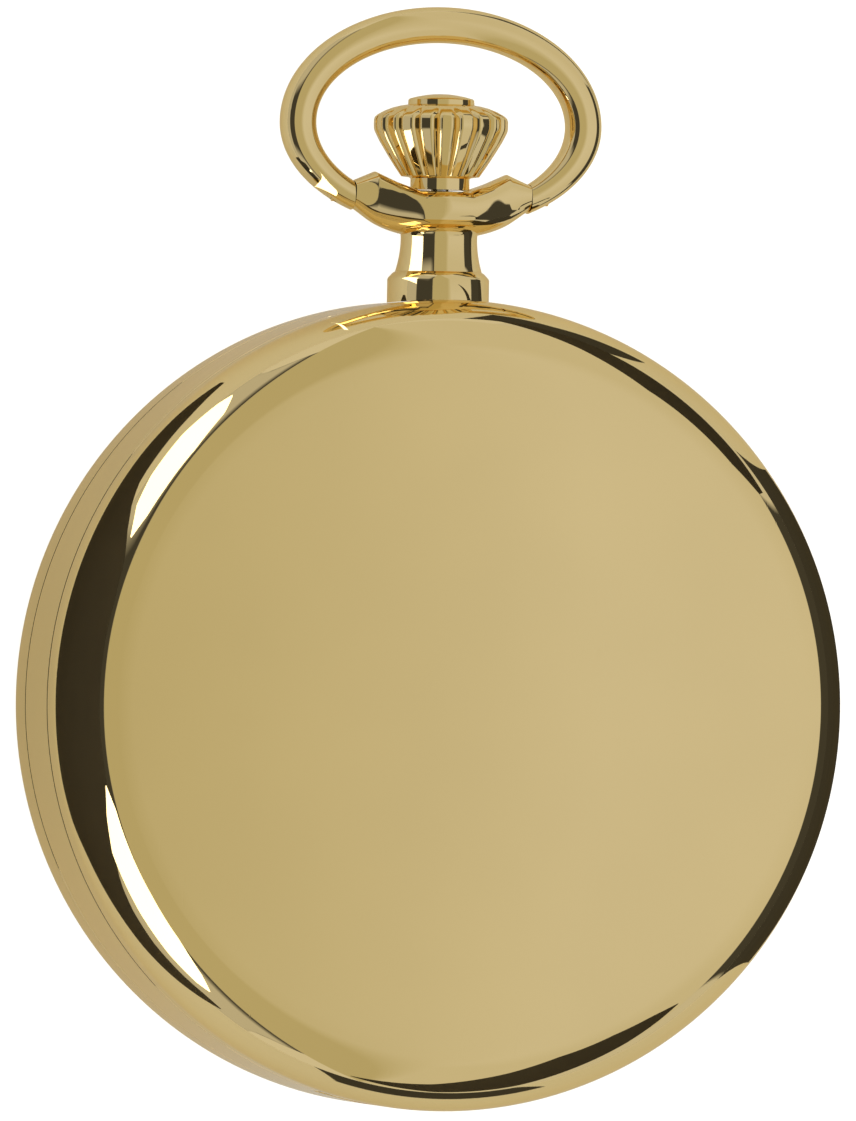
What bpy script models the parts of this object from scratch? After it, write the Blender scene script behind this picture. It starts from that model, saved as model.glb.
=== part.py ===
"""A hunter-cased pocket watch, lying on its back with the lid shut.

The origin is the centre of the flat back. +Z rises out through the lid, +Y runs to the
pendant at 12 o'clock and +X to 3 o'clock. Shapes are drawn in millimetres, with heights
from a datum BACK_DEPTH above the flat back, and become metres at the end.
"""

import math

import bmesh
import bpy
import numpy as np
from mathutils import Matrix, Vector

MM = 0.001

# Case: three shells stacked on one radius.
CASE_R = 25.0
BACK_DEPTH = 2.0
BACK_TOP = 2.2
BAND_TOP = 7.37
SEAM = 0.03
LID_TOP = 13.8
SHOULDER_WIDE = 3.4
SHOULDER_HIGH = 4.0
BACK_EDGE_R = 1.6
DOME_RISE = 0.4
BACK_FLAT_R = 20.0
BACK_RISE = 0.12
SHELL = 0.7
BAND_BORE_R = 23.62
FLANGE_R = 22.3
FLANGE_T = 0.52
CASE_SIDES = 48
SMALL_SIDES = 12

# Lid hinge at 6 o'clock, its axis along X.
HINGE_Y = -23.9
HINGE_Z = 7.4
KNUCKLE_R = 0.75
KNUCKLE_SPLIT = 2.42
HINGE_HALF = 7.38
HINGE_PIN_R = 0.25
RUN = 0.03

# Pendant, crown and bow on one axis along Y.
STEM_Z = 5.35
STEM_R = 0.55
COLLAR_R = 3.16
COLLAR_TOP = 26.4
NECK_R = 2.67
NECK_TOP_R = 2.37
PENDANT_STUB_R = 1.7
PENDANT_BORE_R = 1.5
SLEEVE_TOP = 30.7
SADDLE_HALF = 5.6
SADDLE_DEPTH = 2.9
PIVOT_Y = 31.45
BOW_PIN_R = 0.45
BOW_GAP = 0.05
BOW_DEPTH = 1.2
CROWN_FLUTES = 20
CROWN_LOW = 31.85

# Levels of the movement, from the bridges at the back to the dial in front.
WIND_Z = 3.2
BRIDGE_Z = 3.65
BRIDGE_T = 0.4
BALANCE_Z = 4.3
CENTRE_WHEEL_Z = 4.2
FOURTH_WHEEL_Z = 4.55
THIRD_WHEEL_Z = 5.0
PLATE_Z = 5.75
PLATE_T = 0.55
PLATE_R = 18.4
DIAL_Z = 7.05
DIAL_T = 0.28
DIAL_R = 21.3
WHEEL_T = 0.15
JEWEL_R = 0.6
HAND_T = 0.15
HOUR_HAND_Z = 8.0
MINUTE_HAND_Z = 8.45
SECONDS_HAND_Z = 7.7

# Gear sizes: module is pitch diameter over teeth.
BARREL_TEETH, CENTRE_PINION = 60, 10
BARREL_MODULE = 0.235
CENTRE_TEETH, THIRD_PINION = 48, 6
CENTRE_MODULE = 0.21
THIRD_TEETH, FOURTH_PINION = 45, 6
THIRD_MODULE = 0.18
FOURTH_TEETH, ESCAPE_PINION = 60, 6
FOURTH_MODULE = 0.13
ESCAPE_TEETH = 15
ESCAPE_R = 2.6
CANNON_TEETH, MINUTE_TEETH = 12, 36
MINUTE_MODULE = 0.15
MINUTE_PINION, HOUR_TEETH = 10, 40
HOUR_MODULE = 0.144
CROWN_WHEEL_TEETH, RATCHET_TEETH = 28, 32
WIND_MODULE = 0.32
WINDING_TEETH = 12


def polar(distance, degrees, start=(0.0, 0.0)):
    angle = math.radians(degrees)
    return (start[0] + distance * math.cos(angle), start[1] + distance * math.sin(angle))


def gear_distance(module, teeth, others):
    return module * (teeth + others) / 2


CENTRE = (0.0, 0.0)
SECONDS = (0.0, -9.3)
BARREL = polar(gear_distance(BARREL_MODULE, BARREL_TEETH, CENTRE_PINION), 30)
THIRD_REACH = gear_distance(CENTRE_MODULE, CENTRE_TEETH, THIRD_PINION)
FOURTH_REACH = gear_distance(THIRD_MODULE, THIRD_TEETH, FOURTH_PINION)
# The third wheel stands where both of its gear distances are met.
THIRD_TURN = math.degrees(
    math.acos(
        (THIRD_REACH**2 + SECONDS[1] ** 2 - FOURTH_REACH**2) / (-2 * THIRD_REACH * SECONDS[1])
    )
)
THIRD = polar(THIRD_REACH, -90 - THIRD_TURN)
ESCAPE = polar(gear_distance(FOURTH_MODULE, FOURTH_TEETH, ESCAPE_PINION), -20, SECONDS)
BALANCE = (9.6, -8.3)
PALLET_REACH = 3.1
MINUTE_WHEEL = polar(gear_distance(MINUTE_MODULE, CANNON_TEETH, MINUTE_TEETH), 135)
WIND_REACH = gear_distance(WIND_MODULE, CROWN_WHEEL_TEETH, RATCHET_TEETH)
CROWN_WHEEL = (0.0, BARREL[1] + math.sqrt(WIND_REACH**2 - BARREL[0] ** 2))

# Colour, roughness and metallic value of each material.
MATERIALS = {
    "gold": ((0.93, 0.73, 0.36), 0.06, 1.0),
    "brass": ((0.80, 0.61, 0.30), 0.30, 1.0),
    "steel": ((0.62, 0.62, 0.63), 0.22, 1.0),
    "blued_steel": ((0.03, 0.06, 0.22), 0.22, 1.0),
    "crystal": ((0.95, 0.97, 0.98), 0.03, 0.0),
    "enamel": ((0.88, 0.87, 0.82), 0.25, 0.0),
    "ruby": ((0.45, 0.02, 0.08), 0.10, 0.0),
    "nylon": ((0.80, 0.80, 0.78), 0.50, 0.0),
}


def clear_scene():
    for obj in list(bpy.data.objects):
        bpy.data.objects.remove(obj, do_unlink=True)


def material(name):
    found = bpy.data.materials.get(name)
    if found:
        return found
    colour, roughness, metallic = MATERIALS[name]
    made = bpy.data.materials.new(name)
    made.use_nodes = True
    shader = made.node_tree.nodes["Principled BSDF"]
    shader.inputs["Base Color"].default_value = (*colour, 1.0)
    shader.inputs["Roughness"].default_value = roughness
    shader.inputs["Metallic"].default_value = metallic
    if name == "crystal":
        shader.inputs["Transmission Weight"].default_value = 1.0
        shader.inputs["IOR"].default_value = 1.5
    return made


def add(name, points, faces, finish="steel"):
    """A mesh object, its faces turned outwards."""
    mesh = bpy.data.meshes.new(name)
    mesh.from_pydata([tuple(point) for point in points], [], faces)
    shape = bmesh.new()
    shape.from_mesh(mesh)
    bmesh.ops.recalc_face_normals(shape, faces=shape.faces)
    shape.to_mesh(mesh)
    shape.free()
    mesh.materials.append(material(finish))
    obj = bpy.data.objects.new(name, mesh)
    bpy.context.scene.collection.objects.link(obj)
    return obj


def stack(name, rings, finish="steel", joined=False):
    """A skin over rings of equal counts: capped at both ends, or joined end to end."""
    count = len(rings[0])
    points = [point for ring in rings for point in ring]
    pairs = [(n, n + 1) for n in range(len(rings) - 1)]
    if joined:
        pairs.append((len(rings) - 1, 0))
    faces = []
    for low, high in pairs:
        for n in range(count):
            after = (n + 1) % count
            faces.append(
                (low * count + n, low * count + after, high * count + after, high * count + n)
            )
    if not joined:
        faces.append(tuple(reversed(range(count))))
        faces.append(tuple(range((len(rings) - 1) * count, len(rings) * count)))
    return add(name, points, faces, finish)


def prism(name, outline, low, high, finish="steel"):
    rings = [[(x, y, z) for x, y in outline] for z in (low, high)]
    return stack(name, rings, finish)


def circle(radius, sides=SMALL_SIDES, centre=CENTRE, turned=0.0):
    return [polar(radius, turned + 360 * n / sides, centre) for n in range(sides)]


def disc(name, radius, low, high, centre=CENTRE, finish="steel", sides=SMALL_SIDES):
    return prism(name, circle(radius, sides, centre), low, high, finish)


def turned(name, outline, finish="steel", sides=CASE_SIDES, centre=CENTRE):
    """Turns (radius, height) points about Z. An outline that starts on the axis ends on it."""
    solid = outline[0][0] == 0
    rim = outline[1:-1] if solid else outline
    rings = [
        [(*polar(radius, 360 * n / sides, centre), height) for n in range(sides)]
        for radius, height in rim
    ]
    if not solid:
        return stack(name, rings, finish, joined=True)
    points = [point for ring in rings for point in ring]
    points += [(*centre, outline[0][1]), (*centre, outline[-1][1])]
    first, last = len(points) - 2, len(points) - 1
    top = (len(rings) - 1) * sides
    faces = []
    for n in range(sides):
        after = (n + 1) % sides
        faces.append((first, after, n))
        faces.append((last, top + n, top + after))
        for ring in range(len(rings) - 1):
            low, high = ring * sides, (ring + 1) * sides
            faces.append((low + n, low + after, high + after, high + n))
    return add(name, points, faces, finish)


def along_y(obj):
    """Stands a shape that was turned about Z on the stem's axis, its heights along +Y."""
    turn = Matrix.Translation((0, 0, STEM_Z)) @ Matrix.Rotation(math.radians(-90), 4, "X")
    obj.data.transform(turn)
    return obj


def bar_along_x(name, radius, low, high, y, z, finish="steel", sides=SMALL_SIDES):
    rings = [
        [(x, y + dy, z + dz) for dy, dz in circle(radius, sides, turned=180 / sides)]
        for x in (low, high)
    ]
    return stack(name, rings, finish)


def box(name, low, high):
    (x0, y0, z0), (x1, y1, z1) = low, high
    return prism(name, [(x0, y0), (x1, y0), (x1, y1), (x0, y1)], z0, z1)


def combine(obj, other, operation):
    modifier = obj.modifiers.new(operation.lower(), "BOOLEAN")
    modifier.operation = operation
    modifier.solver = "EXACT"
    modifier.object = other
    bpy.context.view_layer.update()
    graph = bpy.context.evaluated_depsgraph_get()
    made = bpy.data.meshes.new_from_object(obj.evaluated_get(graph))
    obj.modifiers.clear()
    obj.data = made
    bpy.data.objects.remove(other, do_unlink=True)
    return obj


def cut(obj, *others):
    for other in others:
        combine(obj, other, "DIFFERENCE")
    return obj


def join(obj, *others):
    for other in others:
        combine(obj, other, "UNION")
    return obj


def gear_outline(teeth, module, centre=CENTRE, towards=0.0, gap=False, tip=0.0):
    """Tapered teeth, narrower than their gaps. A tooth, or a gap, faces the towards angle."""
    pitch = module * teeth / 2
    root, crest = pitch - 1.1 * module, pitch + 0.85 * module
    step = 360 / teeth
    start = towards + (step / 2 if gap else 0)
    corners = [(0, crest), (0.5, root)]
    if tip:
        corners = [(-0.21, root), (-tip, crest), (tip, crest), (0.21, root)]
    return [
        polar(radius, start + step * (n + share), centre)
        for n in range(teeth)
        for share, radius in corners
    ]


def direction(start, end):
    return math.degrees(math.atan2(end[1] - start[1], end[0] - start[0]))


def arbor(name, centre, steps, finish="steel"):
    """A turned shaft: (radius, z where that radius starts) steps, then its end height."""
    outline = [(0, steps[0][1])]
    for (radius, low), (_, high) in zip(steps, steps[1:]):
        outline += [(radius, low), (radius, high)]
    outline.append((0, steps[-1][1]))
    return turned(name, outline, finish, SMALL_SIDES, centre)


def arc_band(name, inner, outer, start, end, low, high, finish="steel", pieces=10):
    """A strip bent to the case's curve."""
    angles = [start + (end - start) * n / pieces for n in range(pieces + 1)]
    outline = [polar(outer, angle) for angle in angles]
    outline += [polar(inner, angle) for angle in reversed(angles)]
    return prism(name, outline, low, high, finish)


def spiral(name, centre, inner, outer, turns, width, low, high, pieces):
    """A flat coiled strip."""
    angles = [360 * turns * n / pieces for n in range(pieces + 1)]
    radii = [inner + (outer - inner) * n / pieces for n in range(pieces + 1)]
    strip = [polar(r + width / 2, a, centre) for r, a in zip(radii, angles)]
    back = [polar(r - width / 2, a, centre) for r, a in zip(radii, angles)]
    rings = [
        [(*edge[n], z) for edge, z in ((strip, low), (strip, high), (back, high), (back, low))]
        for n in range(pieces + 1)
    ]
    return stack(name, rings)


# Case


def lid_outline():
    """The lid's wall, shoulder and dome outside, then the same inside."""
    wall_top = LID_TOP - DOME_RISE - SHOULDER_HIGH
    crown_r = CASE_R - SHOULDER_WIDE
    shoulder = [
        (crown_r + SHOULDER_WIDE * math.cos(a), wall_top + SHOULDER_HIGH * math.sin(a))
        for a in np.radians([0, 18, 36, 54, 72, 90])
    ]
    wide, high = SHOULDER_WIDE - SHELL, SHOULDER_HIGH - SHELL
    hollow = [
        (crown_r + wide * math.cos(a), wall_top + high * math.sin(a))
        for a in np.radians([90, 60, 30, 0])
    ]
    dome = [(r, LID_TOP - DOME_RISE * (r / crown_r) ** 2) for r in (16.0, 8.0)]
    outside = [(CASE_R, BAND_TOP + 2 * SEAM), *shoulder, *dome, (0, LID_TOP)]
    inside = [(0, LID_TOP - SHELL), (16.0, dome[0][1] - SHELL), *hollow]
    return outside, inside


def cup(name, outside, inside, finish="gold"):
    """A dish that opens downwards: its outer skin turned solid, less its inner skin."""
    rim = outside[0][1]
    body = turned(name, [(0, rim), *outside], finish)
    return cut(body, turned("hollow", [*inside, (inside[-1][0], rim - 1), (0, rim - 1)]))


def hinge_knuckle(name, low, high):
    """One knuckle of the lid hinge, without its bore."""
    return bar_along_x(name, KNUCKLE_R, low, high, HINGE_Y, HINGE_Z, "gold")


def hinge_bore():
    reach = CASE_R
    return bar_along_x("bore", HINGE_PIN_R + RUN, -reach, reach, HINGE_Y, HINGE_Z)


def hinge_slot(low, high):
    reach = CASE_R + 1
    return box("slot", (-HINGE_HALF, -reach, low), (HINGE_HALF, HINGE_Y + 0.95, high))


def front_lid():
    outside, inside = lid_outline()
    lid = cup("front_lid", outside, inside)
    cut(lid, hinge_slot(HINGE_Z - 1, HINGE_Z + 1.3))
    knuckle = hinge_knuckle("knuckle", -KNUCKLE_SPLIT, KNUCKLE_SPLIT)
    leaf = box(
        "leaf",
        (0.1 - KNUCKLE_SPLIT, HINGE_Y - 0.65, HINGE_Z + 0.05),
        (KNUCKLE_SPLIT - 0.1, HINGE_Y - 0.05, HINGE_Z + 1.8),
    )
    join(knuckle, leaf)
    join(lid, knuckle)
    return cut(lid, hinge_bore())


def case_band():
    band = turned(
        "case_band",
        [
            (CASE_R, BACK_TOP + SEAM),
            (CASE_R, BAND_TOP),
            (FLANGE_R, BAND_TOP),
            (FLANGE_R, BAND_TOP - FLANGE_T),
            (BAND_BORE_R, BAND_TOP - FLANGE_T),
            (BAND_BORE_R, BACK_TOP + SEAM),
        ],
        "gold",
    )
    cut(band, hinge_slot(HINGE_Z - 0.85, HINGE_Z + 1))
    for side in (-1, 1):
        low, high = sorted((side * (KNUCKLE_SPLIT + RUN), side * (HINGE_HALF - RUN)))
        knuckle = hinge_knuckle("knuckle", low, high)
        web = box("web", (low, HINGE_Y - 0.6, HINGE_Z - 1.1), (high, HINGE_Y + 0.6, HINGE_Z - 0.3))
        join(knuckle, web)
        trim = disc("trim", CASE_R - SEAM, 0, LID_TOP, sides=CASE_SIDES)
        combine(knuckle, trim, "INTERSECT")
        join(band, knuckle)
    cut(band, hinge_bore())
    cut(band, along_y(disc("pendant_hole", PENDANT_STUB_R + RUN, 20, CASE_R + 2)))
    return cut(band, arc_band("notch", 22.0, 24.1, 78, 87, BAND_TOP - 1, BAND_TOP + 1, pieces=3))


def back_cover():
    face = -BACK_DEPTH
    edge_low = face + BACK_RISE
    edge = [
        (CASE_R + BACK_EDGE_R * (math.sin(a) - 1), edge_low + BACK_EDGE_R * (1 - math.cos(a)))
        for a in np.radians([0, 22, 45, 68, 90])
    ]
    outside = [(BACK_FLAT_R, face), *edge, (CASE_R, BACK_TOP)]
    lip = [(23.55, BACK_TOP), (23.55, BACK_TOP + 0.9), (23.0, BACK_TOP + 0.9)]
    floor = face + BACK_RISE + SHELL
    inside = [(23.0, BACK_TOP - 0.4), (22.8, floor + 0.3), (BACK_FLAT_R, floor)]
    return turned("back_cover", [(0, face), *outside, *lip, *inside, (0, floor)], "gold")


def bezel():
    low, seat, top = BAND_TOP + SEAM, 9.08, 10.0
    outline = [(20.9, low), (22.9, low), (22.9, 8.6), (22.5, 9.6), (21.98, top)]
    return turned("bezel", [*outline, (21.98, seat), (20.9, seat)], "gold")


def crystal():
    outside = [(21.93, 9.11), (21.93, 9.9), (19.5, 10.3), (11.0, 10.6), (0, 10.7)]
    return turned("crystal", [(0, 9.7), (11.0, 9.6), (19.5, 9.3), *outside], "crystal", 48)


# Pendant, crown and bow


def saddle():
    """The boat-shaped block that holds the bow: sections along X."""
    ears, end_top = 4.2, 32.3
    stations = np.array([0.0, 1.0, 1.9, 2.9, 3.6, ears, 4.9, 5.3, SADDLE_HALF])
    top = np.interp(stations, [0, 1.6, 2.9, ears, SADDLE_HALF], [31.8, 31.8, 32.3, 32.9, end_top])
    low = np.interp(stations, [0, 2.9, 4.25, 5.3, SADDLE_HALF], [28.9, 29.1, 29.6, 30.1, 30.65])
    deep = np.interp(
        stations,
        [0, 1.0, 1.9, 2.9, 3.6, ears, SADDLE_HALF],
        [SADDLE_DEPTH, 2.6, 2.15, 1.65, 1.45, 1.35, 1.25],
    )
    rings = []
    for side in (-1, 1):
        order = range(len(stations) - 1, 0, -1) if side < 0 else range(len(stations))
        for n in order:
            middle, half = (top[n] + low[n]) / 2, (top[n] - low[n]) / 2
            ring = []
            for x, y in circle(1.0, 12, turned=90):
                rounded = [math.copysign(abs(v) ** 0.9, v) for v in (x, y)]
                ring.append(
                    (side * stations[n], middle + half * rounded[1], STEM_Z + deep[n] * rounded[0])
                )
            rings.append(ring)
    return stack("saddle", rings, "gold")


def pendant():
    collar = [(0, 24.3), (COLLAR_R, 24.3), (COLLAR_R, COLLAR_TOP), (NECK_R + 0.15, 26.7)]
    neck = [(NECK_R, 26.8), (NECK_R - 0.2, 27.6), (NECK_TOP_R, 28.6), (2.6, 29.6), (0, 29.6)]
    body = along_y(turned("pendant", [*collar, *neck], "gold", 24))
    cut(body, disc("case", CASE_R + SEAM, -1, LID_TOP, sides=CASE_SIDES))
    stub = along_y(disc("stub", PENDANT_STUB_R, BAND_BORE_R + 0.1, 26.0))
    join(body, saddle(), stub)
    bore = [(0, 20), (PENDANT_BORE_R, 20), (PENDANT_BORE_R, SLEEVE_TOP + RUN)]
    mouth = [(2.0, SLEEVE_TOP + RUN), (2.0, 34), (0, 34)]
    cut(body, along_y(turned("bore", [*bore, *mouth], sides=SMALL_SIDES)))
    for side in (-1, 1):
        ends = sorted((side * 4.6, side * 7))
        cut(body, bar_along_x("hole", BOW_PIN_R + RUN, *ends, PIVOT_Y, STEM_Z))
    return body


def bow_outline(half, top, low, start):
    """Points of one edge of the bow, from the left end over the top to the right end."""
    middle = 35.9
    last = math.degrees(math.acos(start / half))
    return [
        (
            half * math.cos(math.radians(angle)),
            middle + (top if angle < 180 and angle > 0 else low) * math.sin(math.radians(angle)),
        )
        for angle in np.linspace(180 + last, -last, 25)
    ]


def bow():
    start = SADDLE_HALF + BOW_GAP
    outer = bow_outline(10.25, 7.28, 6.47, start)
    inner = bow_outline(8.02, 5.04, 5.0, start)
    front = [(1, 0.55), (0.82, 1), (0.18, 1), (0, 0.55)]
    section = front + [(share, -depth) for share, depth in reversed(front)]
    rings = []
    for (ox, oy), (ix, iy) in zip(outer, inner):
        rings.append(
            [(ix + s * (ox - ix), iy + s * (oy - iy), STEM_Z + BOW_DEPTH * z) for s, z in section]
        )
    made = stack("bow", rings, "gold")
    for side in (-1, 1):
        ends = sorted((side * 5, side * 7))
        cut(made, bar_along_x("hole", BOW_PIN_R + RUN, *ends, PIVOT_Y, STEM_Z))
    return made


def bow_pins():
    for side, name in ((-1, "bow_pin_left"), (1, "bow_pin_right")):
        ends = sorted((side * 4.7, side * 6.9))
        bar_along_x(name, BOW_PIN_R, *ends, PIVOT_Y, STEM_Z)


def crown():
    """Flared and fluted, with a plain hub below and a domed button above."""
    sides = 2 * CROWN_FLUTES
    profile = [
        (1.83, CROWN_LOW, 0), (1.83, 32.7, 0), (2.41, 32.75, 0.06), (3.1, 33.7, 0.09),
        (4.15, 35.5, 0.09), (4.15, 36.0, 0.09), (3.7, 36.5, 0.07), (2.3, 36.9, 0),
        (2.1, 37.0, 0), (2.1, 37.35, 0), (1.9, 37.6, 0), (0.8, 37.8, 0),
    ]
    rings = []
    for radius, height, flute in profile:
        rings.append(
            [
                (*polar(radius * (1 - flute * (n % 2)), 360 * n / sides), height)
                for n in range(sides)
            ]
        )
    made = along_y(stack("crown", rings, "gold"))
    return cut(made, along_y(disc("bore", STEM_R + RUN, 30, 36.3)))


def stem_parts():
    along_y(arbor("winding_stem", CENTRE, [(0.35, 11.4), (STEM_R, 12.6), (0, 36.2)]))
    sleeve = [(0.62, 26.8), (PENDANT_BORE_R - RUN, 26.8), (PENDANT_BORE_R - RUN, SLEEVE_TOP)]
    along_y(turned("stem_sleeve", [*sleeve, (0.62, SLEEVE_TOP)], sides=SMALL_SIDES))
    teeth = gear_outline(WINDING_TEETH, 0.24, tip=0.1)
    pinion = along_y(prism("winding_pinion", teeth, 14.7, 16.2))
    cut(pinion, along_y(disc("bore", STEM_R + RUN, 14, 17)))
    teeth = gear_outline(WINDING_TEETH, 0.18, tip=0.1)
    clutch = along_y(prism("sliding_pinion", teeth, 12.7, 14.1))
    cut(clutch, along_y(disc("bore", STEM_R + RUN, 12, 15)))


# Case springs


def springs():
    low, high = 4.3, BAND_TOP - 0.8
    lock = arc_band("lock_spring", 22.75, 23.35, 35, 84, low, high)
    nib = arc_band("nib", 23.26, 23.95, 80, 84, high - 0.1, BAND_TOP + 0.7, pieces=2)
    join(lock, nib)
    arc_band("lift_spring", 22.75, 23.35, -76, -118, low, high - 0.3)


# Movement


def holes(low, high, *places):
    """Round cutters, one for each (centre, radius)."""
    return [disc("hole", radius, low, high, centre) for centre, radius in places]


def plates():
    ring = [(18.55, 3.9), (22.0, 3.9), (22.0, DIAL_Z - 0.1), (18.55, DIAL_Z - 0.1)]
    holder = turned("movement_ring", ring, "nylon", 36)
    cut(holder, along_y(disc("hole", 1.0, 16, 24)))
    plate = disc("mainplate", PLATE_R, PLATE_Z, PLATE_Z + PLATE_T, finish="brass", sides=40)
    top = PLATE_Z + PLATE_T + 1
    pivots = [(place, 0.3) for place in (THIRD, ESCAPE, BALANCE, pallet_pivot(), MINUTE_WHEEL)]
    pivots += [(CENTRE, 0.55), (SECONDS, 0.35), (BARREL, 0.55)]
    cut(plate, box("stem_way", (-2.2, 11.0, 5), (2.2, 20, top)))
    cut(plate, *holes(5, top, *pivots))
    face = disc("dial", DIAL_R, DIAL_Z, DIAL_Z + DIAL_T, finish="enamel", sides=40)
    cut(face, *holes(6, 8, (CENTRE, 1.25), (SECONDS, 0.4)))


def bridge(name, outline, feet, pivots, low=BRIDGE_Z, high=BRIDGE_Z + BRIDGE_T):
    """A flat bridge on round feet that stand on the mainplate."""
    made = prism(name, outline, low, high, "brass")
    join(made, *[disc("foot", 0.9, high - 0.1, PLATE_Z - RUN, foot) for foot in feet])
    return cut(made, *holes(low - 1, high + 0.5, *pivots))


def pallet_pivot():
    return polar(PALLET_REACH, direction(ESCAPE, BALANCE), ESCAPE)


def bridges():
    rim = [polar(18.1, angle) for angle in range(-8, 83, 10)]
    outline = [*rim, (2.5, 13.4), (-2.6, 13.4), (-3.2, 8.0), (1.7, 1.9), (10.0, -2.5)]
    pivots = [(BARREL, 0.55), (CROWN_WHEEL, 0.45)]
    bridge("barrel_bridge", outline, [polar(17, 2), polar(17, 66)], pivots)
    outline = [
        (1.3, 1.3), (-3.6, 7.2), (-9.0, 6.5), (-12.5, 2.0), (-13.0, -6.0), (-9.5, -12.5),
        (-4.5, -15.6), (5.6, -15.0), (5.9, -9.8), (2.4, -6.5), (2.2, -0.6),
    ]
    pivots = [(CENTRE, 0.3), (THIRD, 0.3), (SECONDS, 0.3), (ESCAPE, JEWEL_R + RUN)]
    bridge("train_bridge", outline, [(-10.5, 2.5), (-8.0, -11.8)], pivots)
    outline = [(8.5, -6.6), (14.6, -7.4), (17.0, -6.0), (15.3, -9.6), (13.3, -12.2), (8.7, -9.7)]
    bridge("balance_cock", outline, [(15.0, -8.6)], [(BALANCE, JEWEL_R + RUN)])
    x, y = pallet_pivot()
    outline = [(x - 0.7, y + 0.6), (x + 0.7, y + 0.5), (10.4, -14.0), (9.6, -15.6), (7.4, -14.8)]
    bridge("pallet_bridge", outline, [(8.9, -14.2)], [((x, y), 0.3)], 4.64, 4.85)


def jewels():
    for name, place in (("balance_jewel", BALANCE), ("escape_jewel", ESCAPE)):
        ring = [(0.24, BRIDGE_Z), (JEWEL_R, BRIDGE_Z), (JEWEL_R, BRIDGE_Z + BRIDGE_T)]
        turned(name, [*ring, (0.24, BRIDGE_Z + BRIDGE_T)], "ruby", SMALL_SIDES, place)


def going_train():
    barrel_works()
    level = CENTRE_WHEEL_Z
    aim = direction(CENTRE, BARREL)
    wheel = prism(
        "centre_wheel",
        gear_outline(CENTRE_TEETH, CENTRE_MODULE, CENTRE, direction(CENTRE, THIRD)),
        level, level + WHEEL_T, "brass",
    )
    pinion = gear_outline(CENTRE_PINION, BARREL_MODULE, CENTRE, aim, True, 0.1)
    shaft = [(0.25, BRIDGE_Z), (0.4, level - 0.1), (0.35, PLATE_Z), (0, 6.9)]
    join(wheel, prism("pinion", pinion, 5.0, 5.62), arbor("shaft", CENTRE, shaft))
    wheel_on_pinion(
        "third_wheel", THIRD, (THIRD_TEETH, THIRD_MODULE, SECONDS, THIRD_WHEEL_Z),
        (THIRD_PINION, CENTRE_MODULE, CENTRE, 4.12), PLATE_Z + PLATE_T,
    )
    wheel_on_pinion(
        "fourth_wheel", SECONDS, (FOURTH_TEETH, FOURTH_MODULE, ESCAPE, FOURTH_WHEEL_Z),
        (FOURTH_PINION, THIRD_MODULE, THIRD, 4.9), 7.95,
    )
    escapement()


def barrel_works():
    aim = direction(BARREL, CENTRE)
    rim = prism(
        "mainspring_barrel",
        gear_outline(BARREL_TEETH, BARREL_MODULE, BARREL, aim), 5.1, 5.6, "brass",
    )
    join(rim, disc("drum", 6.9, 4.5, 5.3, BARREL, sides=32))
    cut(rim, disc("hollow", 6.3, 4.4, 5.35, BARREL, sides=24), *holes(4, 6, (BARREL, 0.6)))
    turned(
        "barrel_cover",
        [(0.6, 4.52), (6.27, 4.52), (6.27, 4.64), (0.6, 4.64)], "brass", 24, BARREL,
    )
    spiral("mainspring", BARREL, 1.3, 6.0, 3, 0.25, 4.7, 5.3, 40)
    shaft = [(0.5, BRIDGE_Z - 0.02), (0.95, 4.68), (0.5, 5.33), (0, PLATE_Z + PLATE_T)]
    arbor("barrel_arbor", BARREL, shaft)


def wheel_on_pinion(name, place, wheel, pinion, top):
    """A wheel, its pinion and their shaft as one riveted piece."""
    teeth, module, mate, level = wheel
    outline = gear_outline(teeth, module, place, direction(place, mate))
    made = prism(name, outline, level, level + WHEEL_T, "brass")
    teeth, module, mate, level = pinion
    outline = gear_outline(teeth, module, place, direction(place, mate), True, 0.1)
    shaft = [(0.22, BRIDGE_Z), (0.28, BRIDGE_Z + BRIDGE_T + 0.05), (0.22, PLATE_Z - 0.05), (0, top)]
    return join(made, prism("pinion", outline, level, level + 0.36), arbor("shaft", place, shaft))


def escape_outline():
    """Pointed teeth that lean into their turn."""
    step, root = 360 / ESCAPE_TEETH, ESCAPE_R - 0.6
    tooth = [(0, ESCAPE_R), (0.12, ESCAPE_R), (0.22, root), (0.85, root)]
    return [
        polar(radius, step * (n + share), ESCAPE)
        for n in range(ESCAPE_TEETH)
        for share, radius in tooth
    ]


def escapement():
    wheel = prism("escape_wheel", escape_outline(), THIRD_WHEEL_Z, THIRD_WHEEL_Z + WHEEL_T)
    outline = gear_outline(
        ESCAPE_PINION, FOURTH_MODULE, ESCAPE, direction(ESCAPE, SECONDS), True, 0.1
    )
    shaft = [(0.2, BRIDGE_Z + 0.05), (0.26, 4.1), (0.2, PLATE_Z - 0.05), (0, 6.2)]
    join(wheel, prism("pinion", outline, 4.45, 4.81), arbor("shaft", ESCAPE, shaft))
    pallet_fork()
    balance()


def pallet_fork():
    """A lever with two arms over the escape wheel and a notch round the roller pin."""
    pivot = Vector(pallet_pivot())
    ahead = (Vector(BALANCE) - pivot).normalized()
    aside = Vector((-ahead.y, ahead.x))
    spots = [
        (0.35, 0.3), (1.9, 0.12), (2.6, 0.42), (2.62, 0.2), (2.2, 0.17), (2.2, -0.17),
        (2.62, -0.2), (2.6, -0.42), (1.9, -0.12), (0.35, -0.3), (-0.25, -1.9), (-0.75, -1.9),
        (-0.35, -0.4), (-0.35, 0.4), (-0.75, 1.9), (-0.25, 1.9),
    ]
    outline = [tuple(pivot + ahead * a + aside * b) for a, b in spots]
    fork = prism("pallet_fork", outline, 4.93, 5.18)
    shaft = [(0.18, 4.66), (0.24, 4.88), (0.18, PLATE_Z - 0.05), (0, 6.2)]
    join(fork, arbor("shaft", tuple(pivot), shaft))


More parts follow.
